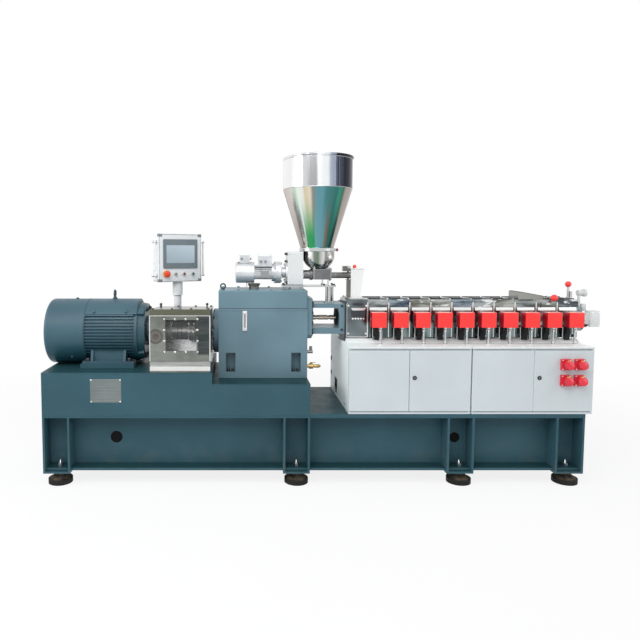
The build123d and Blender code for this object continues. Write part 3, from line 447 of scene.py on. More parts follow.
LOW_BANDS = (
    (0.00, (0.50, 0.51, 0.51)), (0.17, (0.24, 0.23, 0.22)), (0.25, (0.34, 0.29, 0.26)),
    (0.355, (0.40, 0.35, 0.32)), (0.366, (0.84, 0.84, 0.82)), (0.386, (0.74, 0.80, 0.72)),
    (0.394, (0.035, 0.34, 0.12)), (0.455, (0.030, 0.30, 0.10)), (0.464, (0.15, 0.35, 0.40)),
    (0.525, (0.12, 0.30, 0.35)), (0.536, (0.19, 0.15, 0.11)), (0.553, (0.14, 0.11, 0.08)),
    (0.562, (0.016, 0.12, 0.095)), (0.615, (0.022, 0.13, 0.105)), (0.630, (0.40, 0.35, 0.32)),
    (0.76, (0.24, 0.22, 0.21)), (0.84, (0.60, 0.61, 0.61)), (1.00, (0.50, 0.51, 0.51)))
BOWL_BANDS = (
    (0.00, (0.40, 0.41, 0.42)), (0.20, (0.22, 0.22, 0.22)), (0.30, (0.16, 0.155, 0.15)),
    (0.355, (0.26, 0.25, 0.24)), (0.375, (0.88, 0.88, 0.87)), (0.415, (0.70, 0.70, 0.69)),
    (0.435, (0.24, 0.25, 0.23)), (0.475, (0.14, 0.22, 0.14)), (0.500, (0.48, 0.49, 0.47)),
    (0.530, (0.72, 0.72, 0.71)), (0.556, (0.20, 0.20, 0.19)), (0.600, (0.62, 0.61, 0.59)),
    (0.640, (0.30, 0.29, 0.28)), (0.80, (0.24, 0.24, 0.24)), (1.00, (0.40, 0.41, 0.42)))


def banded_steel(name, middle, layers):
    """Polished sheet turned about an upright line at X middle: its painted reflections run in long bands.

    Each layer is (height where it starts, height where it is full, bands), from the lowest up.
    """
    made = Finish(name)
    line = tuple(place((middle, 0, 0)))
    centre = made.node("ShaderNodeVectorMath", {"operation": "SUBTRACT"}, {0: made.point, 1: line})
    across, along = made.axis("X", centre), made.axis("Y", centre)
    turn = across.maths("ARCTAN2", across, 0 - along) / (2 * math.pi) + 0.5
    turn = turn + (made.noise(5, 2, stretch=(1, 1, 0.5)) - 0.5) * 0.014
    height = made.axis("Z")
    tone = None
    for low, high, bands in layers:
        layer = made.node("ShaderNodeValToRGB", {"stops": bands}, {"Fac": turn})
        tone = made.blend(made.ramp(height, low, high), tone, layer) if tone else layer
    fine = made.node("ShaderNodeTexNoise", {"noise_dimensions": "1D"}, {"W": turn, "Scale": 240, "Detail": 3})
    tone = made.blend(made.ramp(fine, 0.45, 0.75) * 0.12, tone, (0.50, 0.51, 0.52))
    return made.surface(Base_Color=tone, Metallic=1, Roughness=made.ramp(fine, 0.3, 0.7, 0.12, 0.20),
                        Normal=made.bump(fine, 0.03, 0.001))


def cast_metal(name, colour, metallic=0.6, rough=0.5, beyond=None):
    """Sand-cast or machined metal with an open grain; beyond is (axis, place, tone of what lies past it)."""
    made = Finish(name)
    grain = made.noise(90, 5, 0.65)
    tone = made.mottled(colour, 5, 4, 0.82, 1.15)
    tone = made.blend(made.ramp(grain, 0.58, 0.72) * 0.35, tone, shade(colour, 0.6))
    if beyond:
        letter, start, other = beyond
        tone = made.blend(made.ramp(made.axis(letter), start, start + 0.001), tone, other)
    return made.surface(Base_Color=tone, Metallic=metallic,
                        Roughness=made.ramp(grain, 0.3, 0.7, rough - 0.08, rough + 0.12),
                        Normal=made.bump(grain, 0.18, 0.002))


def moulded(name, colour, rough=0.35, grain=400, depth=0.05, sheen=0.5):
    """Moulded plastic or rubber with a fine skin."""
    made = Finish(name)
    return made.surface(Base_Color=made.mottled(colour, 7, 3, 0.92, 1.08),
                        Roughness=made.clouds(16, 3, rough, rough + 0.08), Specular_IOR_Level=sheen,
                        Normal=made.bump(made.noise(grain, 2), depth, 0.001))


def dusty_rubber(name):
    """Rubber of the feet: black rim, brown dust on the sloping top."""
    made = Finish(name)
    top = made.ramp(made.axis("Z"), 0.028, 0.040)
    dust = made.ramp(made.noise(22, 5), 0.30, 0.62)
    tone = made.blend(top * dust * 0.85 + 0.03, (0.014, 0.014, 0.015), (0.115, 0.088, 0.062))
    return made.surface(Base_Color=tone, Roughness=made.ramp(dust, 0, 1, 0.55, 0.85), Specular_IOR_Level=0.20,
                        Normal=made.bump(made.noise(180, 3), 0.20, 0.002))


def clear_sheet(name):
    """Clear plastic sheet, lightly scratched."""
    made = Finish(name)
    scratch = made.ramp(made.noise(40, 4, stretch=(1, 1, 0.2)), 0.62, 0.70)
    return made.surface(Base_Color=(0.75, 0.80, 0.79, 1), Roughness=made.ramp(scratch, 0, 1, 0.03, 0.12),
                        Alpha=made.ramp(scratch, 0, 1, 0.035, 0.07))


def display(name):
    """Lit operator screen: soft grey-blue glow, brighter to one corner, in fine rows."""
    made = Finish(name)
    height = made.axis("Z")
    glow = made.ramp(height + made.axis("X") * 0.4, 1.04, 1.34)
    rows = made.ramp(height.maths("SINE", height * 420), 0.2, 0.6)
    tone = made.blend(glow, (0.235, 0.310, 0.365), (0.400, 0.480, 0.540))
    tone = made.blend(rows * 0.06, tone, (0.60, 0.66, 0.70))
    return made.surface(Base_Color=tone, Roughness=made.clouds(30, 2, 0.16, 0.22),
                        Emission_Color=tone, Emission_Strength=0.25)


# Grain that runs up and down, or along the machine
UPRIGHT = (1, 1, 0.05)
LEVEL = (0.05, 1, 1)

# Finishes by their maker: short name, then the maker's values
ROLLED = {
    "pale_sheet": ("Pale_sheet", (0.90, 0.91, 0.91), UPRIGHT, 0.24, 0.06),
    "tube_sheet": ("Tube_sheet", (0.22, 0.215, 0.205), LEVEL, 0.12, 0.30),
    "dull_sheet": ("Dull_sheet", (0.30, 0.305, 0.280), LEVEL, 0.24, 0.18),
    "slate_sheet": ("Slate_sheet", (0.175, 0.206, 0.218), (1, 1, 0.10), 0.16, 0.55),
    "bright_strip": ("Bright_strip", (0.80, 0.81, 0.80), UPRIGHT, 0.25, 0.05),
    "chrome": ("Coupling_steel", (0.94, 0.92, 0.89), (0.1, 1, 1), 0.38, 0.06),
    "bronze_shaft": ("Shaft_steel", (0.46, 0.40, 0.34), (1, 0.1, 0.1), 0.20, 0.20),
    "plate": ("Blank_plate", (0.20, 0.235, 0.235), (0.08, 1, 1), 0.34, 0.12),
}
CAST = {
    "silver_paint": ("Silver_paint", (0.60, 0.62, 0.64), 0.55, 0.34),
    "machined": ("Machined_steel", (0.50, 0.51, 0.52), 1, 0.30),
    "bright_bolt": ("Bright_bolt", (0.75, 0.75, 0.74), 1, 0.22),
    "dark_bolt": ("Dark_bolt", (0.060, 0.065, 0.070), 0.8, 0.42),
    "cast_grey": ("Cast_grey", (0.30, 0.31, 0.32), 0.5, 0.48),
    "old_bronze": ("Old_bronze", (0.130, 0.112, 0.090), 0.6, 0.46),
    "fittings": ("Top_fitting_metal", (0.045, 0.072, 0.082), 0.5, 0.44, ("X", -0.60, (0.19, 0.178, 0.16))),
    "cast_mid": ("Cast_mid", (0.190, 0.195, 0.200), 0.7, 0.40),
    "cast_dark": ("Cast_dark", (0.035, 0.042, 0.050), 0.4, 0.50),
    "brass": ("Brass", (0.52, 0.36, 0.14), 1, 0.32, ("Z", 0.842, (0.26, 0.265, 0.27))),
}
MOULDED = {
    "black_plastic": ("Black_plastic", (0.016, 0.017, 0.019), 0.42, 400, 0.05, 0.25),
    # pit_black is painted shade where it sits in the leg holes and on the lantern's opening.
    "pit_black": ("Pit_black", (0.007, 0.007, 0.008), 0.80, 400, 0.05, 0.12),
    "dark_grey_plastic": ("Corner_plastic", (0.20, 0.22, 0.24), 0.40),
    "bezel_plastic": ("Bezel_plastic", (0.140, 0.178, 0.197), 0.30),
    "stop_red": ("Stop_button_red", (0.80, 0.060, 0.020), 0.25, 500, 0.02),
    "crimson_plastic": ("Crimson_plastic", (0.68, 0.022, 0.045), 0.22, 500, 0.02),
    "maroon_plastic": ("Maroon_plastic", (0.26, 0.018, 0.040), 0.25),
    "sage_plastic": ("Sage_plastic", (0.20, 0.27, 0.25), 0.30),
    "pine_plastic": ("Pine_plastic", (0.050, 0.085, 0.075), 0.30),
    "pale_plastic": ("Pale_plastic", (0.66, 0.67, 0.67), 0.35),
    "yellow_plastic": ("Yellow_plastic", (0.70, 0.40, 0.05), 0.30),
}
HOPPER_LAYERS = ((0, 0, LOW_BANDS), (1.72, 2.05, CONE_BANDS), (2.0903, 2.0943, WALL_BANDS))
BOWL_LAYERS = ((0, 0, BOWL_BANDS),)
PALETTE = {}


def mix_palette(colours):
    """All finishes of the machine, by a short name."""
    for maker, finishes in ((rolled_steel, ROLLED), (cast_metal, CAST), (moulded, MOULDED)):
        PALETTE.update({short: maker(*values) for short, values in finishes.items()})
    PALETTE.update({
        # Painted shade: the frame's upward faces are darkened to a deep teal.
        "base_paint": enamel("Base_enamel", colours.base_paint, 0.42, 0.40, 0.16, over=(0.014, 0.050, 0.059)),
        "drive_paint": enamel("Gearbox_enamel", colours.drive_paint, 0.34),
        # Painted shade: the motor's downward faces are darkened to a deeper teal.
        "motor_paint": enamel("Motor_enamel", colours.motor_paint, 0.34, sheen=0.24,
                              under=(0.017, 0.072, 0.098)),
        # Painted light: the narrow sides of the cabinets and doors are lightened 1.62 times.
        "cabinet_paint": powder_coat("Cabinet_powder_coat", colours.cabinet_paint, 1.62),
        # Painted light: a much lighter, near-white copy of the cabinet paint, for the cabinet tops and the
        # barrel base strip.
        "painted_light_top": powder_coat("Cabinet_top_coat", (0.93, 0.99, 0.99)),
        "white_paint": powder_coat("White_powder_coat", (0.79, 0.82, 0.84)),
        "pale_paint": powder_coat("Pale_paint", (0.66, 0.68, 0.68)),
        "sheet_upright": rolled_steel("Sheet_grain_upright", colours.polished, UPRIGHT),
        "sheet_level": rolled_steel("Sheet_grain_level", colours.polished, LEVEL),
        # Painted reflection: the second colour is the darker tone of the guard's sloping top.
        "guard_sheet": guard_sheet("Guard_sheet", (0.222, 0.240, 0.220), (0.118, 0.122, 0.090)),
        # Painted reflection: tones below the fold, above the fold, and of the pale flashes.
        "mirror_cover": mirror_cover("Barrel_cover_sheet", (0.130, 0.172, 0.176), (0.040, 0.058, 0.085),
                                     (0.86, 0.87, 0.87)),
        # Painted reflections in long bands round the hopper and the bowl.
        "hopper_sheet": banded_steel("Hopper_sheet", HOPPER_X, HOPPER_LAYERS),
        "bowl_sheet": banded_steel("Bowl_sheet", BOWL_X, BOWL_LAYERS),
        "rubber": dusty_rubber("Foot_rubber"),
        # Painted shade on the boxes' narrow sides and a painted highlight on their tops.
        "red_enamel": box_enamel("Box_red_enamel", colours.box_red),
        "red_plastic": moulded("Red_plastic", shade(colours.box_red, 0.95), 0.22, 500, 0.02),
        "clear": clear_sheet("Clear_sheet"),
        "display": display("Operator_display"),
    })


# Which finish each solid takes
NODE_FINISH = {
    "base_paint": "drive_bed girder_front girder_back legs cross_plates barrel_bed",
    "drive_paint": "gearbox_case gearbox_lid gearbox_flanges lantern",
    "motor_paint": "motor_frame motor_cowl motor_end_shield",
    "cabinet_paint": "cabinet_left cabinet_right door_1 door_2 door_3 door_4",
    "white_paint": "panel_box panel_pole",
    "silver_paint": "feeder_motor",
    "pale_paint": "head_box pressure_gauge feeder_gearbox",
    "sheet_upright": "lever_rods",
    "sheet_level": "feeder_stand water_tubes",
    "tube_sheet": "outlet_tube funnel_bracket",
    "pale_sheet": "funnel panel_handles",
    "slate_sheet": "feed_cover",
    "dull_sheet": "vent_lid",
    "bowl_sheet": "feed_bowl",
    "guard_sheet": "coupling_guard",
    "mirror_cover": "barrel_covers",
    "hopper_sheet": "hopper",
    "machined": "foot_screws",
    "chrome": "drive_coupling",
    "bronze_shaft": "screw_shaft_a screw_shaft_b",
    "cast_grey": "barrel_sections die_head",
    "cast_mid": "feeder_housing",
    "fittings": "top_fittings",
    "cast_dark": "feed_barrel",
    "brass": "drain_taps",
    "rubber": "feet",
    "black_plastic": "solenoid_valves",
    "red_enamel": "junction_boxes",
    "red_plastic": "lever_balls",
    "crimson_plastic": "power_sockets",
    "pale_plastic": "panel_buttons sight_glass",
    "bezel_plastic": "panel_screen",
    "clear": "guard_window",
}


class Shell:
    """A mesh in the making, in millimetres of the modelling frame."""

    def __init__(self):
        self.bm = bmesh.new()

    def block(self, low, high, bevel=0, segments=1):
        spans = [sorted(pair) for pair in zip(low, high)]
        corners = bmesh.ops.create_cube(self.bm, size=1)["verts"]
        for corner in corners:
            corner.co = [a + (share + 0.5) * (b - a) for share, (a, b) in zip(corner.co, spans)]
        if bevel:
            edges = list(dict.fromkeys(edge for corner in corners for edge in corner.link_edges))
            bmesh.ops.bevel(self.bm, geom=edges, offset=bevel, segments=segments, profile=0.5, affect="EDGES")
        return self

    def circle(self, centre, side, other, radius, sides):
        """Points round a centre, in the plane of two ways; one point where the radius is nothing."""
        if radius <= 0:
            return [self.bm.verts.new(centre)]
        angles = [2 * math.pi * i / sides for i in range(sides)]
        return [self.bm.verts.new(centre + (side * math.cos(a) + other * math.sin(a)) * radius)
                for a in angles]

    def skin(self, rings, sides, loop=False):
        """Faces between rings that follow each other, closed to a loop or by a face at each end."""
        pairs = list(zip(rings, rings[1:])) + ([(rings[-1], rings[0])] if loop else [])
        for near, far in pairs:
            for i in range(sides):
                j = (i + 1) % sides
                corners = (near[i % len(near)], near[j % len(near)], far[j % len(far)], far[i % len(far)])
                corners = list(dict.fromkeys(corners))
                if len(corners) > 2:
                    self.bm.faces.new(corners)
        for ring in () if loop else (rings[0], rings[-1]):
            if len(ring) > 1:
                self.bm.faces.new(ring)
        return self

    def turned(self, start, way, outline, sides=24, loop=False):
        """Solid turned about the line from start along way; outline is (distance along, radius) pairs."""
        axis = Vector(way).normalized()
        side = axis.orthogonal().normalized()
        other = axis.cross(side)
        rings = [self.circle(Vector(start) + axis * along, side, other, radius, sides)
                 for along, radius in outline]
        return self.skin(rings, sides, loop)

    def rod(self, start, end, radius, sides=20, chamfer=0):
        way = Vector(end) - Vector(start)
        outline = ((0, radius), (way.length, radius))
        if chamfer:
            outline = ((0, radius - chamfer), (chamfer, radius), (way.length - chamfer, radius),
                       (way.length, radius - chamfer))
        return self.turned(start, way, outline, sides)

    def ring(self, centre, axis, radius, thick, sides=40, around=8):
        """A round ring of round section."""
        angles = [2 * math.pi * i / around for i in range(around)]
        outline = [(thick + thick * math.cos(a), radius + thick * math.sin(a)) for a in angles]
        return self.turned(Vector(centre) - Vector(axis) * thick, axis, outline, sides, loop=True)

    def ball(self, centre, radius, sides=24):
        angles = [2 * math.pi * i / sides for i in range(1, sides // 2)]
        outline = [(radius * (1 - math.cos(a)), radius * math.sin(a)) for a in angles]
        return self.turned(Vector(centre) - Vector((0, 0, radius)), UP,
                           [(0, 0), *outline, (2 * radius, 0)], sides)

    def prism(self, outline, low, high, axis="Y"):
        """Prism with the given outline in the two other axes, from low to high along axis."""
        place_of = "XYZ".index(axis)
        rings = [[self.bm.verts.new((*pair[:place_of], along, *pair[place_of:])) for pair in outline]
                 for along in (low, high)]
        return self.skin(rings, len(outline))

    def bar(self, z, degrees, inner, outer, half, low, high):
        """Flat bar between two radii, at an angle about an axis along X at height z, from X low to high."""
        out, across = spoke(degrees), spoke(degrees + 90)
        corners = [out * reach + across * offset for reach, offset in (
            (inner, -half), (outer, -half), (outer, half), (inner, half))]
        return self.prism([(corner.y, z + corner.z) for corner in corners], low, high, "X")

    def pipe(self, points, radius, sides=8):
        """Round pipe along points, kept square to its own line."""
        points = [Vector(point) for point in points]
        side = (points[1] - points[0]).orthogonal()
        rings = []
        for i, point in enumerate(points):
            axis = (points[min(i + 1, len(points) - 1)] - points[max(i - 1, 0)]).normalized()
            side = (side - axis * side.dot(axis)).normalized()
            rings.append(self.circle(point, side, axis.cross(side), radius, sides))
        return self.skin(rings, sides)

    def mesh(self, name, where):
        """The finished mesh, in metres, faces outwards."""
        bmesh.ops.recalc_face_normals(self.bm, faces=self.bm.faces)
        for vert in self.bm.verts:
            vert.co = where(vert.co)
        made = bpy.data.meshes.new(name)
        self.bm.to_mesh(made)
        self.bm.free()
        return made


def settle(name, mesh, finish, body):
    """A finished piece: its mesh, its finish and the body that it rides on."""
    mesh.name = name
    mesh.materials.clear()
    mesh.materials.append(PALETTE[finish])
    mesh.shade_smooth()
    mesh.set_sharp_from_angle(angle=SMOOTH_BELOW)
    made = bpy.data.objects.new(name, mesh)
    bpy.context.scene.collection.objects.link(made)
    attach(made, body)
    return made


def piece(name, shell, finish, body="machine"):
    return settle(name, shell.mesh(name, PLACING.get(body, place)), finish, body)


class Grower(Nodes):
    """A geometry tree in the making, with named inputs."""

    def __init__(self, name, *inputs):
        super().__init__(bpy.data.node_groups.new(name, "GeometryNodeTree"))
        self.tree.is_modifier = True
        for label, kind in (("Geometry", "Geometry"), *inputs, ("Material", "Material")):
            self.tree.interface.new_socket(label, in_out="INPUT", socket_type="NodeSocket" + kind)
        self.tree.interface.new_socket("Geometry", in_out="OUTPUT", socket_type="NodeSocketGeometry")
        self.inputs = self.tree.nodes.new("NodeGroupInput")

    def wire(self, label):
        return Wire(self, self.inputs.outputs[label])

    def lifted(self, kind, height, values):
        """A mesh of the given kind, moved up."""
        lift = self.node("ShaderNodeCombineXYZ", None, {"Z": height})
        mesh = self.node(kind, None, values)
        return self.node("GeometryNodeTransform", None, {"Geometry": mesh, "Translation": lift})

    def end(self, points, instance, values):
        """The tree, with an instance on each point, made real and given its material."""
        spread = self.node("GeometryNodeInstanceOnPoints", None, {
            "Points": points, "Instance": instance, **values})
        real = self.node("GeometryNodeRealizeInstances", None, {"Geometry": spread})
        painted = self.node("GeometryNodeSetMaterial", None, {
            "Geometry": real, "Material": self.wire("Material")})
        self.node("NodeGroupOutput", None, {0: painted})
        return self.tree


def bolt_tree():
    """Heads with washers on points, each facing the way its point says."""
    grow = Grower("Bolt heads", ("Head Radius", "Float"), ("Head Height", "Float"), ("Head Sides", "Int"),
                  ("Washer Radius", "Float"), ("Washer Height", "Float"))
    radius, sides = grow.wire("Head Radius"), grow.wire("Head Sides")
    high, under = grow.wire("Head Height"), grow.wire("Washer Height")
    washer = grow.lifted("GeometryNodeMeshCylinder", under * 0.5, {
        "Vertices": 20, "Radius": grow.wire("Washer Radius"), "Depth": under})
    shank = grow.lifted("GeometryNodeMeshCylinder", under + high * 0.375, {
        "Vertices": sides, "Radius": radius, "Depth": high * 0.75})
    crown = grow.lifted("GeometryNodeMeshCone", under + high * 0.75, {
        "Vertices": sides, "Radius Top": radius * 0.78, "Radius Bottom": radius, "Depth": high * 0.25})
    head = grow.node("GeometryNodeJoinGeometry", None, {"Geometry": [washer, shank, crown]})
    facing = grow.node("GeometryNodeInputNamedAttribute", {"data_type": "FLOAT_VECTOR"}, {"Name": "facing"})
    turn = grow.node("FunctionNodeAlignRotationToVector", {"axis": "Z"}, {"Vector": facing})
    return grow.end(grow.wire("Geometry"), head, {"Rotation": turn})


def row_tree():
    """The piece itself, repeated along a line."""
    grow = Grower("Row of pieces", ("Count", "Int"), ("Step", "Vector"))
    line = grow.node("GeometryNodeMeshLine", {"mode": "OFFSET"}, {
        "Count": grow.wire("Count"), "Start Location": (0, 0, 0), "Offset": grow.wire("Step")})
    return grow.end(line, grow.wire("Geometry"), {})


TREES = {}


def grown(name, mesh, tree, values):
    """The plain mesh that a tree makes of a mesh, with the tree's inputs set by name."""
    seed = bpy.data.objects.new(name + "_seed", mesh)
    bpy.context.scene.collection.objects.link(seed)
    modifier = seed.modifiers.new("Grow", "NODES")
    modifier.node_group = tree
    for item in tree.interface.items_tree:
        if item.in_out == "INPUT" and item.name in values:
            modifier[item.identifier] = values[item.name]
    bpy.context.view_layer.update()
    graph = bpy.context.evaluated_depsgraph_get()
    made = bpy.data.meshes.new_from_object(seed.evaluated_get(graph))
    seed.modifiers.remove(modifier)
    bpy.data.objects.remove(seed)
    return made


def bolts(name, points, radius, height, finish, body="machine", sides=6, washer=1.5):
    """Bolt heads at (point, facing) pairs; radius and height in metres, washer as a share of the radius."""
    where = PLACING.get(body, place)
    mesh = bpy.data.meshes.new(name + "_points")
    mesh.from_pydata([where(point) for point, facing in points], [], [])
    directions = mesh.attributes.new("facing", "FLOAT_VECTOR", "POINT")
    for direction, (point, facing) in zip(directions.data, points):
        direction.vector = (where(facing) - where((0, 0, 0))).normalized()
    made = grown(name, mesh, TREES["bolts"], {
        "Head Radius": radius, "Head Height": height, "Head Sides": sides, "Washer Radius": radius * washer,
        "Washer Height": max(0.0008, height * 0.18), "Material": PALETTE[finish]})
    return settle(name, made, finish, body)


def row(name, shell, count, finish):
    """A piece repeated at each barrel section."""
    made = grown(name, shell.mesh(name + "_one", place), TREES["row"], {
        "Count": count, "Step": (PITCH * MM, 0.0, 0.0), "Material": PALETTE[finish]})
    return settle(name, made, finish, "machine")


def spaced(first, last, count):
    return [first + (last - first) * i / (count - 1) for i in range(count)]


def spoke(degrees):
    """Way out from an axis along X, at an angle that turns from the back upwards."""
    return Vector((0, math.cos(math.radians(degrees)), math.sin(math.radians(degrees))))


def grid(way, *places):
    """Points at every mix of the given places along X, Y and Z, each with the way it faces."""
    spans = [value if isinstance(value, (tuple, list)) else (value,) for value in places]
    return [(point, way) for point in itertools.product(*spans)]


def bolt_circle(way, x, z, radius, count, start=0, y=0):
    """Points round an axis along X, each with the way it faces."""
    angles = [math.radians(start) + 2 * math.pi * i / count for i in range(count)]
    return [((x, y + radius * math.cos(a), z + radius * math.sin(a)), way) for a in angles]


class EXTRUDER_OT_finishes(bpy.types.Operator):
    """Give every solid of the machine its procedural finish"""
    bl_idname = "extruder.finishes"
    bl_label = "Finishes"

    def execute(self, context):
        mix_palette(context.scene.extruder_colours)
        TREES["bolts"] = bolt_tree()
        TREES["row"] = row_tree()
        for finish, names in NODE_FINISH.items():
            for name in names.split():
                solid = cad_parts[name]
                solid.data.materials.clear()
                solid.data.materials.append(PALETTE[finish])
        return {"FINISHED"}


class EXTRUDER_OT_frame(bpy.types.Operator):
    """Small parts of the frame: blank plate, weld beads, screws of the foot plates"""
    bl_idname = "extruder.frame"
    bl_label = "Frame"

    # Blank plate, and the lines on it
    PLATE_X = (-1600, -1385)
    PLATE_Z = (592, 757)
    RULES_X = (-1586, -1399)
    RULES_Z = (608, 723)
    # Places along the frame: weld beads and bolts of the legs; round holes as (x, z, radius)
    BEADS = (-1922, -1766, -248, -94, 892, 1047, 1646, 1811)
    FOOT_BOLTS = (-1904, -1780, -225, -109, 913, 1037, 1663, 1799)
    HOLES = ((-1450, 309, 43), (973, 305, 37))
    # Drive bed: left end, step for the gearbox, right end
    BED_X = (-1937, -759, -79)

    def execute(self, context):
        sizes = context.scene.extruder_sizes
        x0, x1 = self.PLATE_X
        z0, z1 = self.PLATE_Z
        plate = Shell().block((x0, FRONT - 2, z0), (x1, FRONT + 0.5, z1), 0.8)
        piece("Blank_plate", plate, "plate")
        rules = Shell()
        left, right = self.RULES_X
        low, high = self.RULES_Z
        for z in spaced(low, high, 7):
            rules.block((left, FRONT - 2.6, z - 0.9), (right, FRONT - 1.5, z + 0.9))
        for x in (left, (left + right) / 2, right):
            rules.block((x - 0.9, FRONT - 2.6, low), (x + 0.9, FRONT - 1.5, high))
        piece("Blank_plate_rules", rules, "dull_sheet")
        bolts("Blank_plate_screws", grid(OUT, (x0 + 7, x1 - 7), FRONT - 1.8, (z0 + 7, z1 - 7)),
              sizes.screw_radius * 0.7, 0.003, "bright_bolt", sides=16, washer=1.2)
        beads = Shell()
        holes = Shell()
        for side in SIDES:
            for x in self.BEADS:
                beads.pipe([(x, side * 271, z) for z in spaced(126, 478, 9)], 4.5)
            for x, z, radius in self.HOLES:
                holes.rod((x, side * 270, z), (x, side * 264, z), radius, 40)
        piece("Leg_weld_beads", beads, "base_paint")
        bolts("Foot_plate_bolts", grid(UP, self.FOOT_BOLTS, (-340, 340), 103), sizes.bolt_radius * 0.7, 0.009,
              "dark_bolt")
        # Painted shade: a black disc set in each round hole of the legs.
        piece("Hole_painted_shade", holes, "pit_black")
        seam = Shell()
        left, step, right = self.BED_X
        seam.block((step + 2, FRONT - 1.2, 711), (right, FRONT + 1, 715), 0.6)
        seam.block((left, FRONT - 1.2, 791), (step, FRONT + 1, 795), 0.6)
        seam.block((left, FRONT - 1.5, 497), (right, FRONT + 1, 502), 0.8)
        piece("Bed_edge_beads", seam, "base_paint")
        return {"FINISHED"}


class EXTRUDER_OT_motor(bpy.types.Operator):
    """Small parts of the main motor: bolts, fin slots, fan behind the grille, grille rings"""
    bl_idname = "extruder.motor"
    bl_label = "Main motor"

    # Finned body: its ends, and the radius between the fins and at the slots; fan; rings of the grille
    BODY_X = (-1686, -1324)
    BODY_R = 224
    SLOT_R = 226
    FAN_R = 188
    GRILLE = (62, 92, 122, 152, 178)

    def execute(self, context):
        sizes = context.scene.extruder_sizes
        middle = Vector((0, 0, MOTOR_Z))
        spots = [(-1786, angle) for angle in (90, 225, 315)]
        spots += [(x, angle) for x in (-1620, -1389) for angle in (139, 41)]
        shell = [(middle + Vector((x, 0, 0)) + spoke(angle) * (COWL_R - 1), spoke(angle))
                 for x, angle in spots]
        bolts("Motor_shell_bolts", shell, sizes.bolt_radius * 0.75, 0.008, "motor_paint")
        bolts("Motor_foot_bolts", grid(UP, (-1660, -1363), (-208, 208), 847.5),
              sizes.bolt_radius * 1.25, 0.018, "dark_bolt")
        bolts("End_shield_bolts", bolt_circle(RIGHT, -1256.5, MOTOR_Z, 178, 8, 22.5), sizes.bolt_radius * 0.9,
              0.014, "dark_bolt")
        slots = Shell()
        for rise in spaced(-123.75, 123.75, 12):
            z = MOTOR_Z + rise
            reach = math.sqrt(self.SLOT_R ** 2 - rise ** 2)
            for side in SIDES:
                slots.block((-1336, side * (reach - 3), z - 5), (-1325, side * (reach + 1.4), z + 5), 1.5)
        piece("Fin_end_slots", slots, "cast_dark")
        left, right = self.BODY_X
        bed = Shell().rod((left, 0, MOTOR_Z), (right, 0, MOTOR_Z), self.BODY_R, 96)
        piece("Fin_bed", bed, "motor_paint")
        lips = Shell().ring((left + 2, 0, MOTOR_Z), RIGHT, COWL_R - 1.4, 3, 72)
        lips.ring((right + 14, 0, MOTOR_Z), RIGHT, self.BODY_R, 5, 72)
        piece("Motor_shell_lips", lips, "motor_paint")
        seam = Shell().ring((left - 1.5, 0, MOTOR_Z), RIGHT, COWL_R + 0.2, 1.3, 72, 6)
        piece("Motor_shell_seam", seam, "cast_dark")
        rings = Shell()
        for radius in self.GRILLE:
            rings.ring((COWL_LEFT + 8, 0, MOTOR_Z), RIGHT, radius, 2.6, 48, 6)
        piece("Grille_rings", rings, "motor_paint")
        fan = Shell()
        fan.rod((-1905, 0, MOTOR_Z), (-1862, 0, MOTOR_Z), 44, 32, 4)
        for angle in range(0, 360, 40):
            fan.bar(MOTOR_Z, angle, 40, self.FAN_R, 3, -1925, -1868)
        fan.rod((-1864, 0, MOTOR_Z), (-1860, 0, MOTOR_Z), self.FAN_R + 2, 40)
        fan.rod((-1866, 0, MOTOR_Z), (-1897, 0, MOTOR_Z), 20)
        piece("Cooling_fan", fan, "cast_dark")
        bosses = Shell()
        for angle in (45, 135, 225, 315):
            for x in (-1327, -1311):
                start = middle + Vector((x, 0, 0)) + spoke(angle) * (self.BODY_R - 10)
                bosses.rod(start, start + Vector((12, 0, 0)), 13, 16, 2)
        piece("End_shield_bosses", bosses, "motor_paint")
        return {"FINISHED"}


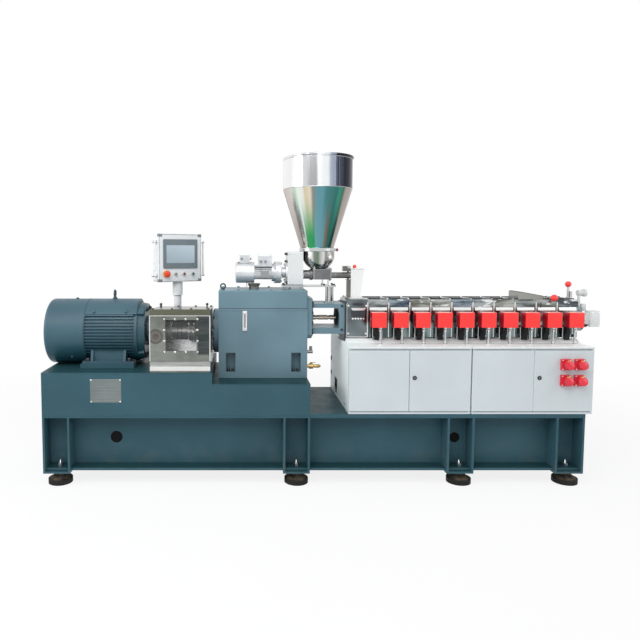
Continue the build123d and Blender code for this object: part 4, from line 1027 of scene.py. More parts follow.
class EXTRUDER_OT_guard(bpy.types.Operator):
    """Small parts of the coupling guard and the bolts of the coupling"""
    bl_idname = "extruder.guard"
    bl_label = "Coupling guard"

    # Folds of the sheet at both ends, and the radius of the coupling's bands
    FOLD_X = (-1187, -771)
    BAND_R = 75
    # Window frame: outer and inner edges
    FRAME_X = (-1096, -1079, -863, -846)
    FRAME_Z = (935, 949, 1166, 1180)

    def execute(self, context):
        sizes = context.scene.extruder_sizes
        face = GUARD_FACE
        spots = grid(OUT, (-1086, -1012, -938, -857), face + 0.3, (1172, 943))
        spots += grid(OUT, (-1086, -857), face + 0.3, (1096, 1020))
        bolts("Guard_window_screws", spots, sizes.screw_radius, 0.005, "bright_bolt", sides=16, washer=1.25)
        left, right = self.FOLD_X
        folds = Shell()
        folds.block((left - 2.5, face - 2, 880), (left + 3.5, face + 0.5, 1194), 0.8)
        folds.block((right - 5, face - 2, 880), (right + 2.5, face + 0.5, 1194), 0.8)
        folds.block((left, face - 2.5, GUARD_FOLD - 3), (right, face + 0.4, GUARD_FOLD + 1.5), 1)
        folds.block((left - 1, face - 4, 812), (right + 1, face - 1, 843), 1)
        piece("Guard_folds", folds, "bright_strip")
        top = [((x, y, 1232.6 - (y + 352) * 0.0498), UP)
               for x in (-1172, -1038, -905, -786) for y in (-330, 90)]
        bolts("Guard_top_screws", top, sizes.screw_radius * 1.3, 0.009, "old_bronze", sides=16)
        strips = Shell()
        x0, x1, x2, x3 = self.FRAME_X
        z0, z1, z2, z3 = self.FRAME_Z
        for near, far, low, high in (
                (x0, x1, z0, z3), (x2, x3, z0, z3), (x0, x3, z2, z3), (x0, x3, z0, z1)):
            strips.block((near, face - 0.9, low), (far, face + 0.4, high))
        piece("Guard_window_frame", strips, "guard_sheet")
        # Painted shade: a dark sheet at the back of the guard, above its lower part, behind the coupling.
        back = Shell().block((left + 5, 106, 955), (right - 5, 108.5, 1200), 0.8)
        piece("Guard_back_painted_shade", back, "cast_dark")
        # Painted light: a pale polished sheet low at the back of the guard.
        low = Shell().prism(((106, 954), (74, 815), (77, 815), (108.5, 954)), left + 5, right - 5, "X")
        piece("Guard_back_painted_light", low, "sheet_level")
        self.coupling()
        return {"FINISHED"}

    def coupling(self):
        nuts = []
        for x in (-1114, -945):
            nuts += bolt_circle(LEFT, x + 0.2, MOTOR_Z, 62, 6) + bolt_circle(RIGHT, x + 31.8, MOTOR_Z, 62, 6)
        bolts("Coupling_nuts", nuts, 0.0118, 0.008, "bright_bolt", "coupling_rotor",
              washer=1.15)
        clamp = bolt_circle(LEFT, -1149.8, MOTOR_Z, 39, 8) + bolt_circle(RIGHT, -877.2, MOTOR_Z, 39, 8)
        bolts("Coupling_clamp_screws", clamp, 0.0055, 0.005, "dark_bolt", "coupling_rotor",
              sides=12, washer=1.1)
        bands = Shell()
        for x in (-1104, -1092, -935, -923):
            bands.ring((x, 0, MOTOR_Z), RIGHT, self.BAND_R, 2.2, 48)
        for x in (-1136, -1030, -1000, -893):
            bands.ring((x, 0, MOTOR_Z), RIGHT, 49.3, 2.2)
        piece("Coupling_bands", bands, "cast_dark", "coupling_rotor")


class EXTRUDER_OT_gearbox(bpy.types.Operator):
    """Small parts of the gearbox and the lantern: joint lines, lid bolts, flange bolts, sight tube, taps"""
    bl_idname = "extruder.gearbox"
    bl_label = "Gearbox"

    # Rings on the screw shafts, oil level tube, and the lantern's bolts at both ends
    SHAFT_RINGS = (-12, 26, 88, 118, 136)
    TUBE_X = -530
    TUBE_Y = -203
    LANTERN_X = (181, -37)
    LANTERN_Z = (1237, 1063)

    def execute(self, context):
        sizes = context.scene.extruder_sizes
        joint = Shell().block((GEAR_LEFT + 4, -GEAR_HALF - 0.7, GEAR_SPLIT - 1.6),
                              (GEAR_RIGHT - 1, GEAR_HALF + 0.7, GEAR_SPLIT + 1.6))
        piece("Lid_joint", joint, "cast_dark")
        rim = Shell()
        for y0, y1 in ((-GEAR_HALF - 2.2, -GEAR_HALF + 1), (GEAR_HALF - 1, GEAR_HALF + 2.2)):
            rim.block((GEAR_LEFT + 1, y0, GEAR_SPLIT - 17), (GEAR_RIGHT - 0.5, y1, GEAR_SPLIT - 2.6), 1.5, 2)
        piece("Gearbox_rim", rim, "drive_paint")
        lid = grid(UP, spaced(-696, -102, 6), (-172, 172), GEAR_TOP - 0.5)
        lid += grid(UP, -696, (-60, 60), GEAR_TOP - 0.5)
        bolts("Lid_bolts", lid, sizes.bolt_radius * 0.65, 0.007, "drive_paint")
        pockets = grid(UP, (-647.5, -617.5, -174.5, -144.5), (34 - GEAR_HALF, GEAR_HALF - 34), 762.5)
        bolts("Gearbox_foot_bolts", pockets, 0.0095, 0.020, "dark_bolt", washer=1.35)
        bolts("Input_flange_bolts", bolt_circle(LEFT, -751.5, MOTOR_Z, 157.5, 12, 15), 0.0075, 0.009,
              "dark_bolt")
        outlet = grid(RIGHT, -44.5, (-151, 151), (1040, 1116, 1188, 1262))
        outlet += grid(RIGHT, -44.5, (-90, 0, 90), (1278, 1017))
        bolts("Output_flange_bolts", outlet, sizes.bolt_radius * 0.8, 0.012, "dark_bolt")
        face = grid(OUT, self.LANTERN_X, -130, self.LANTERN_Z)
        face += grid(IN, self.LANTERN_X, 130, self.LANTERN_Z)
        bolts("Lantern_bolts", face, 0.0068, 0.008, "dark_bolt")
        bolts("Barrel_flange_bolts", grid(RIGHT, 211.5, (-113, 113), (1022, 1238)), sizes.bolt_radius, 0.014,
              "bright_bolt")
        tube = Shell().rod((self.TUBE_X, self.TUBE_Y, 1092), (self.TUBE_X, self.TUBE_Y, 1181), 4, 12)
        piece("Oil_level_tube", tube, "bronze_shaft")
        bolts("Oil_level_screws", grid(OUT, self.TUBE_X, self.TUBE_Y - 0.8, (1077, 1197)), 0.008, 0.006,
              "bright_bolt")
        angles = spaced(0, 2 * math.pi, 41)[:-1]
        # Painted shade: a black oval sheet where the lantern opens.
        opening_shade = Shell().prism([(90 * math.cos(a), 1144 + 62 * math.sin(a)) for a in angles], 154.8, 157.6, "X")
        piece("Lantern_opening_painted_shade", opening_shade, "pit_black")
        for letter, y in (("a", -SCREW_Y), ("b", SCREW_Y)):
            rings = Shell()
            for x in self.SHAFT_RINGS:
                rings.ring((x, y, SCREW_Z), RIGHT, 15.4, 1.4, 24, 6)
            piece("Shaft_" + letter + "_rings", rings, "bright_bolt", "screw_" + letter)
        taps = Shell().turned((9, -100, 788), RIGHT, ((0, 15), (12, 15), (14, 10), (22, 9)), 6)
        taps.block((-46, -104, 812), (-6, -96, 817), 1.5)
        piece("Tap_handles", taps, "brass")
        return {"FINISHED"}


class EXTRUDER_OT_barrel(bpy.types.Operator):
    """Small parts of the barrel row: dividers, folds, screws, box lids, valve plugs, tube fittings"""
    bl_idname = "extruder.barrel"
    bl_label = "Barrel row"

    # First section's valve, water tube and return tube
    VALVE_X = BARREL_START + 63
    TUBE_X = BARREL_START + 66
    RETURN_X = BARREL_START + 99

    def execute(self, context):
        sizes = context.scene.extruder_sizes
        self.covers(sizes.sections, sizes.divider_width / MM / 2)
        self.boxes(sizes.sections)
        self.water(sizes.sections)
        self.feed_section()
        return {"FINISHED"}

    def covers(self, count, half):
        start, end = BARREL_START, BARREL_START + PITCH
        dividers = Shell()
        for side in SIDES:
            dividers.block((start - half, side * (COVER_HALF + 3), COVER_LOW + 1),
                           (start + half, side * (COVER_HALF - 1), 1266), 1.2)
        dividers.block((start - half, -116, COVER_TOP - 1), (start + half, 116, COVER_TOP + 2.5), 1.2)
        row("Cover_dividers", dividers, count, "bright_strip")
        fold = Shell()
        for side in SIDES:
            near, far = side * (COVER_HALF - 0.5), side * (COVER_HALF + 6)
            fold.prism(((near, 1229), (far, 1211), (far, 1205), (near, 1204)), start + 14, end - 14, "X")
        row("Cover_folds", fold, count, "bright_strip")
        # Painted light: the strip takes the near-white copy of the cabinet paint.
        skirt = Shell().prism(((-196, 978.2), (-196, 981), (-150, 1001), (-141, 1001), (-141, 978.2)),
                              206, 1890, "X")
        piece("Barrel_base_strip", skirt, "painted_light_top")
        handles = Shell()
        for y in (-96, 96):
            handles.rod((start + 6, y, COVER_TOP + 3), (end - 6, y, COVER_TOP + 3), 3.2, 12)
        handles.block((start + 44, -40, COVER_TOP - 0.5), (start + 110, 40, COVER_TOP + 5), 2)
        row("Cover_top_handles", handles, count, "dark_bolt")

    def boxes(self, count):
        right, lid = BOX_LEFT + BOX_WIDE, BOX_FRONT + 8.2
        boxes = Shell()
        boxes.block((BOX_LEFT, BOX_FRONT + 9, BOX_LOW), (right, BOX_BACK, BOX_HIGH), 1.6, 2)
        boxes.block((BOX_LEFT, BOX_FRONT, BOX_LOW), (right, lid, BOX_HIGH), 1.6, 2)
        boxes.block((BOX_LEFT + 3, BOX_FRONT + 6, BOX_LOW + 3), (right - 3, BOX_FRONT + 12, BOX_HIGH - 3))
        shells = row("Junction_box_shells", boxes, count, "red_enamel")
        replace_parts(shells, "junction_boxes")
        lefts = [BOX_LEFT + i * PITCH for i in range(count)]
        corners = [left + inset for left in lefts for inset in (9, BOX_WIDE - 9)]
        bolts("Box_lid_screws", grid(OUT, corners, BOX_FRONT + 0.3, (BOX_LOW + 9, BOX_HIGH - 9)),
              0.0032, 0.0016, "red_enamel", sides=12, washer=1.3)
        x, y = BOX_LEFT + 22, -272
        glands = Shell().rod((x, y, BOX_LOW + 1), (x, y, BOX_LOW - 9), 9, 6)
        glands.rod((x, y, BOX_LOW - 8), (x, y, BOX_LOW - 20), 7, 16, 2)
        row("Box_glands", glands, count, "black_plastic")

    def water(self, count):
        x, face = self.VALVE_X, -COVER_HALF
        plugs = Shell().block((x - 16, face - 53, 1040), (x + 16, face - 39, 1080), 3, 2)
        plugs.rod((x, face - 47, 1079), (x, face - 47, 1090), 6, 12)
        row("Valve_plugs", plugs, count, "black_plastic")
        middles = [x + i * PITCH for i in range(count)]
        bolts("Valve_plug_screws", grid(OUT, middles, face - 52.5, 1060), 0.0050, 0.003, "black_plastic",
              sides=14, washer=1.2)
        bodies = Shell().rod((x - 24, face - 18, 1012), (x + 24, face - 18, 1012), 9, 6)
        bodies.rod((x, face - 18, 998), (x, face - 18, 975), 8, 16)
        row("Valve_bodies", bodies, count, "machined")
        x, y = self.TUBE_X, -262
        fittings = Shell().ring((x, y, 1080), UP, 11, 3.4, 24)
        fittings.rod((x, y, 1066), (x, y, 1078), 10.5, 6)
        fittings.rod((x, y, 987), (x, y, 998), 10.5, 6)
        row("Tube_fittings", fittings, count, "bright_bolt")
        x, y = self.RETURN_X, -170
        tubes = Shell().rod((x, y, 975), (x, y, 1100), 4, 12)
        tubes.rod((x, y, 975), (x, y, 984), 8, 6)
        tubes.rod((x, y - 4, 1096), (x, face + 1, 1096), 4, 12)
        row("Return_tubes", tubes, count, "sheet_upright")

    def feed_section(self):
        face = -COVER_HALF
        window = Shell().prism(((243, 1202), (350, 1202), (343, 1152), (250, 1152)), face - 2, face + 0.5)
        piece("Feed_cover_window", window, "cast_dark")
        bars = Shell().prism(((243, 1224), (352, 1224), (340, 1207), (255, 1207)), face - 6, face + 0.5)
        bars.block((217, face - 2.5, 1008), (362, face + 0.5, 1014), 1)
        bars.block((212.5, face - 3, 1008), (216.5, face + 0.5, 1262), 1)
        bars.block((240, -60, COVER_TOP - 1), (350, 60, COVER_TOP + 4), 1.5)
        piece("Feed_cover_bars", bars, "bright_strip")
        middle, stretch = 295, 3.2
        oval = Shell().turned((middle, face + 1, 1252), OUT, ((0, 13), (3, 13), (4, 11)))
        for vert in oval.bm.verts:
            vert.co.x = middle + (vert.co.x - middle) * stretch
        piece("Feed_cover_oval", oval, "cast_dark")
        screws = grid(OUT, spaced(258, 338, 5), face + 0.3, 1146)
        screws += grid(OUT, (226, 356), face + 0.3, (1036, 1240))
        bolts("Feed_cover_screws", screws, 0.005, 0.004, "bright_bolt", sides=14)
        outline = ((1477, 1338.5), (1492, 1341), (1656, 1311), (1656, 1308.5), (1490, 1338), (1477, 1336.5))
        piece("Vent_lid_top", Shell().prism(outline, -113, 43), "cast_dark")
        mark = Shell().block((1624, face - 1.2, 1222), (1630, face + 0.5, 1262))
        piece("Vent_section_mark", mark, "cast_dark")


class EXTRUDER_OT_cabinets(bpy.types.Operator):
    """Small parts of the cabinets: door locks, screws, side caps, ledge on top, hinge tabs"""
    bl_idname = "extruder.cabinets"
    bl_label = "Cabinets"

    # Locks, and the left edge of each door's hinge tabs
    LOCKS = (("Lock_left", 640, "door_2"), ("Lock_right", 1500, "door_4"))
    TABS = (("door_1", 206), ("door_2", 977), ("door_3", 1058), ("door_4", 1821))
    TAB_WIDE = 32

    def execute(self, context):
        sizes = context.scene.extruder_sizes
        for name, x, body in self.LOCKS:
            lock = Shell().turned((x, FRONT + 1, 765), OUT, ((0, 15), (3, 15), (5, 13), (5, 8), (3.5, 7)))
            piece(name, lock, "dark_bolt", body)
            key = Shell().block((x - 1.4, FRONT - 5.2, 758), (x + 1.4, FRONT - 2, 772), 0.4)
            piece(name + "_key_slot", key, "machined", body)
        bolts("Cabinet_side_screws", grid(LEFT, 186.3, (-253, 150), (890, 552)), sizes.screw_radius, 0.004,
              "bright_bolt", sides=16)
        caps = Shell()
        for z in (764, 648):
            caps.turned((186.5, 362, z), LEFT, ((0, 20), (2, 20), (3, 16), (2, 12)), 28)
        piece("Cabinet_side_caps", caps, "pit_black")
        # Painted light: the top sheets and their screws take the near-white copy of the cabinet paint.
        ledge = Shell()
        for x0, x1 in ((184, 1030), (1036, 1874)):
            ledge.block((x0, -398, 974.5), (x1, 398, 978), 1)
        piece("Cabinet_top_sheets", ledge, "painted_light_top")
        bolts("Cabinet_top_screws", grid(UP, spaced(240, 1820, 12), -384, 977.6),
              sizes.screw_radius * 0.8, 0.003, "painted_light_top", sides=16)
        for body, x in self.TABS:
            tabs = Shell()
            for z in (545, 938):
                tabs.block((x, FRONT + 2.9, z - 9), (x + self.TAB_WIDE, FRONT + 5, z + 9), 0.6)
            piece("Hinge_tabs_" + body, tabs, "machined", body)
        return {"FINISHED"}


class EXTRUDER_OT_sockets(bpy.types.Operator):
    """Small parts of the four power sockets: lips, ribbed collars, base screws"""
    bl_idname = "extruder.sockets"
    bl_label = "Power sockets"

    # Left edge and height of each socket, and how far its mouth tilts forward
    SOCKETS_X = (1640, 1734)
    SOCKETS_Z = (860, 749)
    TILT = 72
    RIBS = 14

    def execute(self, context):
        tilt = Vector((0, -math.sin(math.radians(self.TILT)), math.cos(math.radians(self.TILT))))
        across = Vector(RIGHT)
        other = tilt.cross(across)
        lips, ribs, caps, latches = Shell(), Shell(), Shell(), Shell()
        screws = []
        for x, z in itertools.product(self.SOCKETS_X, self.SOCKETS_Z):
            centre = Vector((x + 36, FRONT - 34, z - 4))
            lips.ring(centre + tilt * 21, tilt, 29.5, 2.5)
            caps.turned(centre + tilt * 24, tilt, ((0, 26), (2, 25), (3.5, 20), (4, 0)), 32)
            latches.block((x + 24, FRONT - 50, z + 26), (x + 44, FRONT - 40, z + 33), 1.6, 2)
            for i in range(self.RIBS):
                a = 2 * math.pi * i / self.RIBS
                foot = centre + (across * math.cos(a) + other * math.sin(a)) * 27
                ribs.rod(foot - tilt * 14, foot + tilt * 14, 2, 6)
            screws += grid(OUT, (x + 7, x + 59), FRONT - 20, (z - 31, z + 31))
        piece("Socket_lips", lips, "maroon_plastic", "door_4")
        piece("Socket_ribs", ribs, "crimson_plastic", "door_4")
        piece("Socket_caps", caps, "crimson_plastic", "door_4")
        piece("Socket_latches", latches, "yellow_plastic", "door_4")
        bolts("Socket_screws", screws, 0.0036, 0.002, "bright_bolt", body="door_4", sides=12, washer=1.2)
        return {"FINISHED"}


class EXTRUDER_OT_die_end(bpy.types.Operator):
    """Small parts of the die end: gauge dial and rings, box lid, die bolts, knob, lever collars"""
    bl_idname = "extruder.die_end"
    bl_label = "Die end"

    # Middle of the gauge, seen from the end; lowest and highest place of the terminal box, and its far end
    GAUGE_Y = -80
    GAUGE_Z = 1330
    HEAD_BOX_Z = (1094, 1206)
    HEAD_BOX_END = 2020.9

    def execute(self, context):
        sizes = context.scene.extruder_sizes
        self.gauge()
        low, high = self.HEAD_BOX_Z
        end = self.HEAD_BOX_END
        box = Shell().block((1951, -205, low), (end, -137, high), 1.6, 2)
        box.block((1926, -185, 1110), (1952, -150, 1190), 1.2)
        box.block((1926, -151, 1130), (1946, -105, 1170), 1.2)
        box.block((1950, -100, 1196), (1982, -64, 1250), 2, 2)
        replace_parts(piece("Head_box_shell", box, "pale_paint"), "head_box")
        lid = Shell().block((1958, -207, low + 6), (2017, -204, high - 6), 1.4, 2)
        lid.block((end - 1.4, -199, low + 6), (end, -143, high - 6), 0.6)
        piece("Head_box_lid", lid, "pale_paint")
        bolts("Head_box_screws", grid(OUT, (1963, 2012), -206.6, (low + 11, high - 11)), 0.0038, 0.002,
              "bright_bolt", sides=12, washer=1.2)
        glands = Shell()
        for x in (1934, 1945):
            glands.rod((x, -168, 1111), (x, -168, 1099), 6, 16, 1)
            glands.rod((x, -168, 1101), (x, -168, 1088), 4.5, 12, 1)
        piece("Head_box_glands", glands, "black_plastic")
        bolts("Die_bolts", bolt_circle(RIGHT, 1972.6, SCREW_Z, 47, 8, 22.5), 0.0085, 0.010, "dark_bolt")
        head = grid(RIGHT, 1950.6, -88, (1070, 1105, 1175))
        head += grid(RIGHT, 1950.6, 88, (1070, 1105, 1175, 1212))
        bolts("Head_bolts", head, sizes.bolt_radius * 0.9, 0.014, "dark_bolt")
        knob = Shell().turned((1845, -170, 1026), OUT, (
            (0, 6), (8, 6), (9, 11), (18, 11), (20, 8), (20, 0)), 20)
        piece("Drain_knob", knob, "black_plastic")
        collars = Shell().turned((1872, -50, 1285), UP, ((0, 15), (10, 15), (13, 9)))
        collars.turned((1712, -60, 1285), UP, ((0, 14), (8, 14), (10, 10)))
        piece("Lever_collars", collars, "machined")
        return {"FINISHED"}

    def gauge(self):
        y, z = self.GAUGE_Y, self.GAUGE_Z
        rings = Shell()
        for x in (1930, 1938, 1946, 1954):
            rings.ring((x, y, z), RIGHT, 19.5, 2, 32, 6)
        rings.ring((1981, y, z), RIGHT, 25.5, 2.5)
        rings.ring((1936, y, 1262), UP, 10, 3, 24, 6)
        piece("Gauge_rings", rings, "pale_plastic")
        dial = Shell().turned((1983.6, y, z), RIGHT, ((0, 23), (0.9, 23), (1, 0)), 32)
        piece("Gauge_dial", dial, "pale_plastic")
        hand = Shell().block((1984.2, y - 1, z - 2), (1985.4, y + 1, z + 18))
        # Ten marks of twelve: the scale is open at one side
        for (mark_x, mark_y, mark_z), _ in bolt_circle(RIGHT, 1984.8, z, 19.5, 12, y=y)[:10]:
            hand.block((mark_x - 0.6, mark_y - 0.9, mark_z - 0.9), (mark_x + 0.6, mark_y + 0.9, mark_z + 0.9))
        piece("Gauge_hand", hand, "black_plastic")


class EXTRUDER_OT_feeder(bpy.types.Operator):
    """Small parts of the feeder: grille, box lids, flange bolts, hopper collar and clamp, funnel edges"""
    bl_idname = "extruder.feeder"
    bl_label = "Feeder"

    # Hopper: radius of its wall, and the heights where its cone starts, its wall starts and its rim lies
    HOPPER_R = 253.5
    CONE_Z = 1662
    WALL_Z = 2092.3
    RIM_Z = 2304

    def execute(self, context):
        self.motor()
        self.stand()
        self.housing()
        self.hopper()
        self.bowl()
        self.funnel()
        return {"FINISHED"}

    def motor(self):
        z = FEED_MOTOR_Z
        slots = Shell()
        for angle in range(62, 98, 7):
            for degrees in (angle, 180 - angle):
                slots.bar(z, degrees, 75.5, 78.9, 2, -580, -496)
        piece("Fan_cowl_slots", slots, "cast_dark")
        rings = Shell()
        for radius in (22, 40, 57):
            rings.ring((-596.5, 0, z), RIGHT, radius, 1.8, 36, 6)
        rings.ring((-461, 0, z), RIGHT, 76, 2.4, 48)
        rings.ring((-314, 0, z), RIGHT, 65, 2.4, 48)
        piece("Feeder_motor_rings", rings, "silver_paint")
        lids = Shell().block((-432, -49, 1596), (-324, 49, 1611), 3, 2)
        lids.block((-572, -40, 1603), (-490, 40, 1617), 3, 2)
        piece("Terminal_box_lids", lids, "white_paint")
        tops = grid(UP, (-424, -332), (-40, 40), 1610.5) + grid(UP, (-565, -497), (-32, 32), 1616.5)
        bolts("Terminal_box_screws", tops, 0.0042, 0.0025, "bright_bolt", sides=12)
        glands = Shell().rod((-552, -37, 1580), (-552, -47, 1580), 9, 16, 1.5)
        for x in (-410, -376):
            glands.rod((x, -46, 1560), (x, -58, 1560), 10, 6, 1.5)
        glands.rod((-490, 0, 1580), (-480, 0, 1580), 8, 16, 1.5)
        piece("Terminal_box_glands", glands, "dark_grey_plastic")
        flange = bolt_circle(LEFT, -299.6, z, 71, 6, 30) + bolt_circle(RIGHT, -262.4, z, 66, 6, 30)
        flange += bolt_circle(LEFT, -223.6, z, 66, 6)
        bolts("Feeder_flange_bolts", flange, 0.0085, 0.010, "machined")
        plate = Shell().block((-410, -63.6, 1462), (-352, -61.5, 1494), 0.6)
        piece("Feeder_blank_plate", plate, "cast_grey")

    def stand(self):
        side = grid(OUT, (-203, -112), -85.3, (1400, 1619)) + grid(IN, (-203, -112), 85.3, (1400, 1619))
        bolts("Feeder_case_screws", side, 0.0048, 0.003, "bright_bolt", sides=14)
        bolts("Feeder_case_bolts", grid(LEFT, -215.4, (-70, 70), (1402, 1560, 1616)), 0.0085, 0.009,
              "dark_bolt")
        bolts("Stand_plate_bolts", grid(UP, (-236, 60, 132), (-54, 54), 1383.7), 0.0085, 0.010, "dark_bolt")
        posts = Shell()
        for x in (78, 128):
            posts.rod((x, -34, 1254.5), (x, -34, 1372), 5, 12)
            posts.rod((x, -34, 1254), (x, -34, 1263), 10, 6)
        piece("Stand_tie_rods", posts, "bright_bolt")

    def housing(self):
        ribs = Shell()
        for x in (-18, 106):
            ribs.prism(((-60, 1427.5), (60, 1427.5), (68, 1505), (-68, 1505)), x - 5, x + 5, "X")
        ribs.block((-26, -69, 1497), (114, 69, 1505), 2)
        piece("Housing_ribs", ribs, "cast_grey")
        bolts("Housing_bolts", grid(UP, (-16, 104), (-58, 58), 1504.6), 0.008, 0.010, "bright_bolt")
        bands = Shell()
        for x in (-92, -52):
            bands.ring((x, 0, 1463), RIGHT, 33, 2.5, 36)
        bands.ring((150, 0, 1457), RIGHT, 22.5, 1.6, 32, 6)
        piece("Tube_bands", bands, "machined")

    def hopper(self):
        x = HOPPER_X
        outline = ((0, 126), (0, 131), (4, 134), (9, 134), (9, 130.5), (17, 130.5), (17, 134), (22, 134),
                   (26, 131), (26, 126))
        collar = Shell().turned((x, 0, 1634), UP, outline, 64, loop=True)
        piece("Hopper_collar", collar, "sheet_level")
        rims = Shell().ring((x, 0, self.WALL_Z), UP, self.HOPPER_R, 2.6, 72)
        rims.ring((x, 0, self.RIM_Z), UP, self.HOPPER_R, 2.2, 72)
        piece("Hopper_seams", rims, "machined")
        weld = Shell().pipe([(x - 123 - 132 * share, 0, self.CONE_Z + 430 * share)
                             for share in spaced(0, 0.99, 6)], 1.8)
        weld.pipe([(x - 254, 0, z) for z in spaced(2095, self.RIM_Z - 4, 4)], 1.8)
        piece("Hopper_weld", weld, "machined")
        clamp = Shell().block((x + 124, -14, 1638), (x + 141, 14, 1656), 2)
        piece("Hopper_clamp", clamp, "machined")
        knob = Shell().ball((x + 148, 0, 1647), 11.6)
        piece("Hopper_clamp_knob", knob, "maroon_plastic")

    def bowl(self):
        ports = Shell()
        for side in SIDES:
            out = Vector((math.cos(math.radians(52)), side * math.sin(math.radians(52)), 0))
            ports.turned(Vector((BOWL_X, 0, 1588)) + out * 108, out,
                         ((0, 22), (12, 22), (14, 19), (18, 19), (20, 15)), 28)
        piece("Bowl_ports", ports, "sheet_upright")
        cap = Shell().turned((BOWL_X - 120, 0, BOWL_Z), LEFT, (
            (0, 28), (4, 28), (6, 20), (12, 20), (14, 14)), 28)
        piece("Bowl_shaft_cap", cap, "cast_grey")
        bolts("Bowl_cap_bolts", bolt_circle(LEFT, BOWL_X - 120.6, BOWL_Z, 34, 6), 0.0042, 0.004,
              "bright_bolt")

    def funnel(self):
        edges = Shell().block((256, -45, 1502), (360, 45, 1507.5), 1.5)
        edges.block((250, -48, 1285), (338, 48, 1290), 1.5)
        piece("Funnel_edges", edges, "bright_strip")
        seat = Shell().turned((294, 0, 1507), UP, ((0, 12), (3, 12), (5, 6)), 20)
        piece("Funnel_knob_seat", seat, "bright_bolt")
        bracket = grid(OUT, 246, -21.7, 1520) + grid(IN, 246, 21.7, 1520) + grid(UP, 223, (-45, 45), 1294.6)
        bolts("Bracket_bolts", bracket, 0.0065, 0.008, "bright_bolt")


class EXTRUDER_OT_panel(bpy.types.Operator):
    """Small parts of the operator panel: corner caps, display, buttons, handle feet"""
    bl_idname = "extruder.panel"
    bl_label = "Operator panel"

    # Half the width over the rims, the heights of the corner caps, and the buttons
    HALF = 178
    CAPS_Z = ((1400, 1424), (1746, 1770))
    BUTTONS_Z = 1462
    BUTTONS = ((-118, "stop_red"), (-42, "sage_plastic"), (28, "maroon_plastic"), (104, "pine_plastic"))

    def execute(self, context):
        face, middle, body = PANEL_FACE, PANEL_X, "operator_panel"
        caps = Shell()
        for side in SIDES:
            for z0, z1 in self.CAPS_Z:
                caps.block((middle + side * (self.HALF + 3.5), face - 2, z0),
                           (middle + side * (self.HALF - 30), face + 30, z1), 5, 2)
        piece("Panel_corner_caps", caps, "dark_grey_plastic", body)
        rim = Shell()
        for z0, z1 in ((1402, 1408), (1762, 1768)):
            rim.block((middle - 150, face - 2.5, z0), (middle + 150, face + 4, z1), 1.5)
        for x in (middle - self.HALF, middle + self.HALF - 6):
            rim.block((x, face - 2.5, 1422), (x + 6, face + 4, 1748), 1.5)
        piece("Panel_front_rim", rim, "machined", body)
        glass = Shell().block((middle - 118, face - 8, 1545), (middle + 118, face - 6.5, 1682), 0.5)
        piece("Panel_display", glass, "display", body)
        rings = Shell()
        for offset, tint in self.BUTTONS:
            x, z = middle + offset, self.BUTTONS_Z
            rings.ring((x, face - 3, z), OUT, 13, 2.6, 32)
            if tint == "stop_red":
                head = Shell().turned((x, face - 12, z), OUT, (
                    (0, 14), (4, 24), (12, 25.5), (16, 24), (20, 18), (22, 0)), 36)
                piece("Stop_button", head, tint, body)
                collar = Shell().turned((x, face + 0.5, z), OUT, ((0, 27), (3, 27), (4.5, 25)), 36)
                piece("Stop_button_plate", collar, "yellow_plastic", body)
            else:
                cap = Shell().turned((x, face - 11, z), OUT, ((0, 10), (3, 10), (4.5, 8), (5, 0)), 28)
                piece("Button_" + tint, cap, tint, body)
        piece("Button_rings", rings, "machined", body)
        feet = Shell()
        y = PANEL_Y - 20
        for side, z in itertools.product(SIDES, (1448, 1707)):
            feet.rod((middle + side * (self.HALF + 3), y, z), (middle + side * (self.HALF + 11), y, z),
                     14, 20, 2)
            feet.ball((middle + side * 214, y, z), 10.5)
        piece("Handle_feet", feet, "machined", body)
        neck = Shell().ring((middle, PANEL_Y, 1298), UP, 38, 3)
        piece("Panel_neck_ring", neck, "white_paint", body)
        foot = grid(UP, (middle - 54, middle + 54), (PANEL_Y - 54, PANEL_Y + 54), 811.6)
        bolts("Pole_foot_bolts", foot, 0.009, 0.010, "bright_bolt")
        return {"FINISHED"}


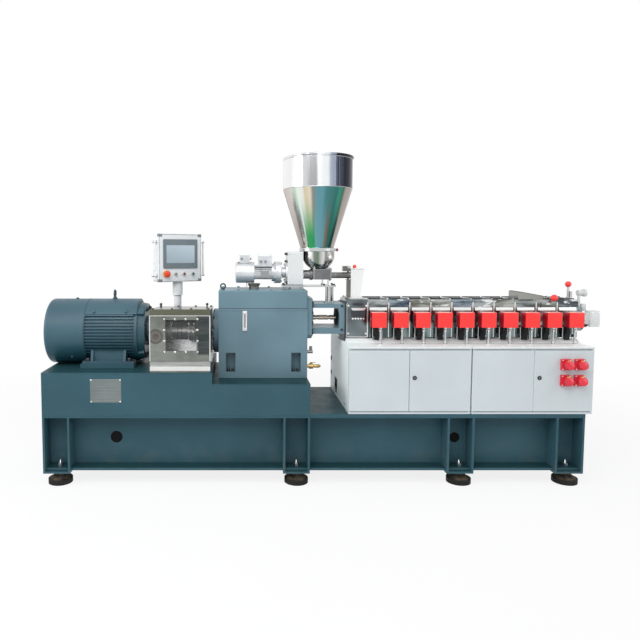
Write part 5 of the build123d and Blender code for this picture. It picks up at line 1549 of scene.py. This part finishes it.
class EXTRUDER_OT_stage(bpy.types.Operator):
    """Floor, room light, lamps and camera"""
    bl_idname = "extruder.stage"
    bl_label = "Stage"

    # Half the floor's length, and the camera's place, tilt below level and shift, in metres and degrees
    REACH = 30
    EYE_X = -0.588
    EYE_Y = -4.2863
    TILT = 3.97
    LENS_SHIFT = (0.125, -0.0453)

    def execute(self, context):
        stage = context.scene.extruder_stage
        self.floor(stage)
        self.room(stage)
        self.lamps(stage)
        self.camera(stage)
        context.scene.view_settings.view_transform = "Standard"
        return {"FINISHED"}

    def floor(self, stage):
        """Pale floor that keeps the machine's shadow and fades to white around it."""
        mesh = bpy.data.meshes.new("Floor")
        reach = self.REACH
        mesh.from_pydata([(-reach, -reach, 0), (reach, -reach, 0), (reach, reach, 0), (-reach, reach, 0)],
                         [], [(0, 1, 2, 3)])
        floor = bpy.data.objects.new("Floor", mesh)
        bpy.context.scene.collection.objects.link(floor)
        made = Finish("Floor_paint")
        grain = made.clouds(0.9, 3, stage.floor_shade - 0.01, stage.floor_shade + 0.01)
        matt = made.node("ShaderNodeBsdfDiffuse", None, {"Color": made.blend(grain, (0, 0, 0), (1, 1, 1))})
        glow = made.node("ShaderNodeEmission", None, {"Color": (1, 1, 1, 1), "Strength": 1})
        away = made.node("ShaderNodeVectorMath", {"operation": "LENGTH"}, {0: made.point}, 1)
        share = seen_rays(made) * made.ramp(away, 2, 5.5, 0.84, 1)
        mesh.materials.append(made.end(made.node("ShaderNodeMixShader", None, {0: share, 1: matt, 2: glow})))

    def room(self, stage):
        """Soft even light, white where it is seen."""
        world = bpy.data.worlds.new("Room")
        bpy.context.scene.world = world
        world.use_nodes = True
        made = Nodes(world.node_tree)
        soft = made.node("ShaderNodeBackground", None, {"Color": (0.96, 0.98, 1, 1), "Strength": stage.sky})
        plain = made.node("ShaderNodeBackground", None, {"Color": (1, 1, 1, 1), "Strength": 1})
        mixed = made.node("ShaderNodeMixShader", None, {0: seen_rays(made), 1: soft, 2: plain})
        made.node("ShaderNodeOutputWorld", None, {"Surface": mixed})

    def lamps(self, stage):
        for name, where, aim, size, power in (
                ("Key_lamp", (-1.6, -4.2, 5.2), (0, 0, 0.9), 4.5, stage.key_power),
                ("Left_lamp", (-5.6, -1.5, 3.2), (-0.5, 0, 1), 3, stage.fill_power * 1.4),
                ("Right_lamp", (5.6, -2.6, 3.4), (0.5, 0, 0.9), 3, stage.fill_power)):
            lamp = bpy.data.lights.new(name, "AREA")
            lamp.shape = "SQUARE"
            lamp.size = size
            lamp.energy = power
            holder = bpy.data.objects.new(name, lamp)
            holder.location = where
            way = Vector(aim) - Vector(where)
            holder.rotation_euler = way.to_track_quat("-Z", "Y").to_euler()
            bpy.context.scene.collection.objects.link(holder)

    def camera(self, stage):
        lens = bpy.data.cameras.new("View")
        lens.sensor_width = 36
        lens.lens = stage.lens
        lens.shift_x, lens.shift_y = self.LENS_SHIFT
        camera = bpy.data.objects.new("View", lens)
        camera.location = (self.EYE_X, self.EYE_Y, stage.eye_height)
        camera.rotation_euler = (math.radians(90 - self.TILT), 0, 0)
        bpy.context.scene.collection.objects.link(camera)
        bpy.context.scene.camera = camera


def seen_rays(made):
    """One where a ray comes from the camera, a reflection or a clear sheet, nothing where it only lights."""
    seen, mirrored, through = (made.node("ShaderNodeLightPath", out=kind) for kind in (
        "Is Camera Ray", "Is Glossy Ray", "Is Transmission Ray"))
    return seen.maths("MAXIMUM", seen.maths("MAXIMUM", seen, mirrored), through)


class EXTRUDER_PT_parts(bpy.types.Panel):
    """The machine's pieces and sizes in the sidebar"""
    bl_idname = "EXTRUDER_PT_parts"
    bl_label = "Twin-screw extruder"
    bl_space_type = "VIEW_3D"
    bl_region_type = "UI"
    bl_category = "Extruder"

    def draw(self, context):
        for name, group in GROUPS:
            box = self.layout.box()
            for setting in group.__annotations__:
                box.prop(getattr(context.scene, name), setting)
        for operator in OPERATORS:
            self.layout.operator(operator.bl_idname)


GROUPS = (("extruder_colours", ExtruderColours), ("extruder_sizes", ExtruderSizes),
          ("extruder_stage", ExtruderStage))
OPERATORS = (EXTRUDER_OT_finishes, EXTRUDER_OT_frame, EXTRUDER_OT_motor, EXTRUDER_OT_guard,
             EXTRUDER_OT_gearbox, EXTRUDER_OT_barrel, EXTRUDER_OT_cabinets, EXTRUDER_OT_sockets,
             EXTRUDER_OT_die_end, EXTRUDER_OT_feeder, EXTRUDER_OT_panel, EXTRUDER_OT_stage)


def register():
    for name, group in GROUPS:
        bpy.utils.register_class(group)
        setattr(bpy.types.Scene, name, bpy.props.PointerProperty(type=group))
    for operator in OPERATORS:
        bpy.utils.register_class(operator)
    bpy.utils.register_class(EXTRUDER_PT_parts)


def unregister():
    bpy.utils.unregister_class(EXTRUDER_PT_parts)
    for operator in reversed(OPERATORS):
        bpy.utils.unregister_class(operator)
    for name, group in reversed(GROUPS):
        delattr(bpy.types.Scene, name)
        bpy.utils.unregister_class(group)


def main():
    register()
    for operator in OPERATORS:
        family, name = operator.bl_idname.split(".")
        getattr(getattr(bpy.ops, family), name)()


if __name__ == "__main__":
    main()
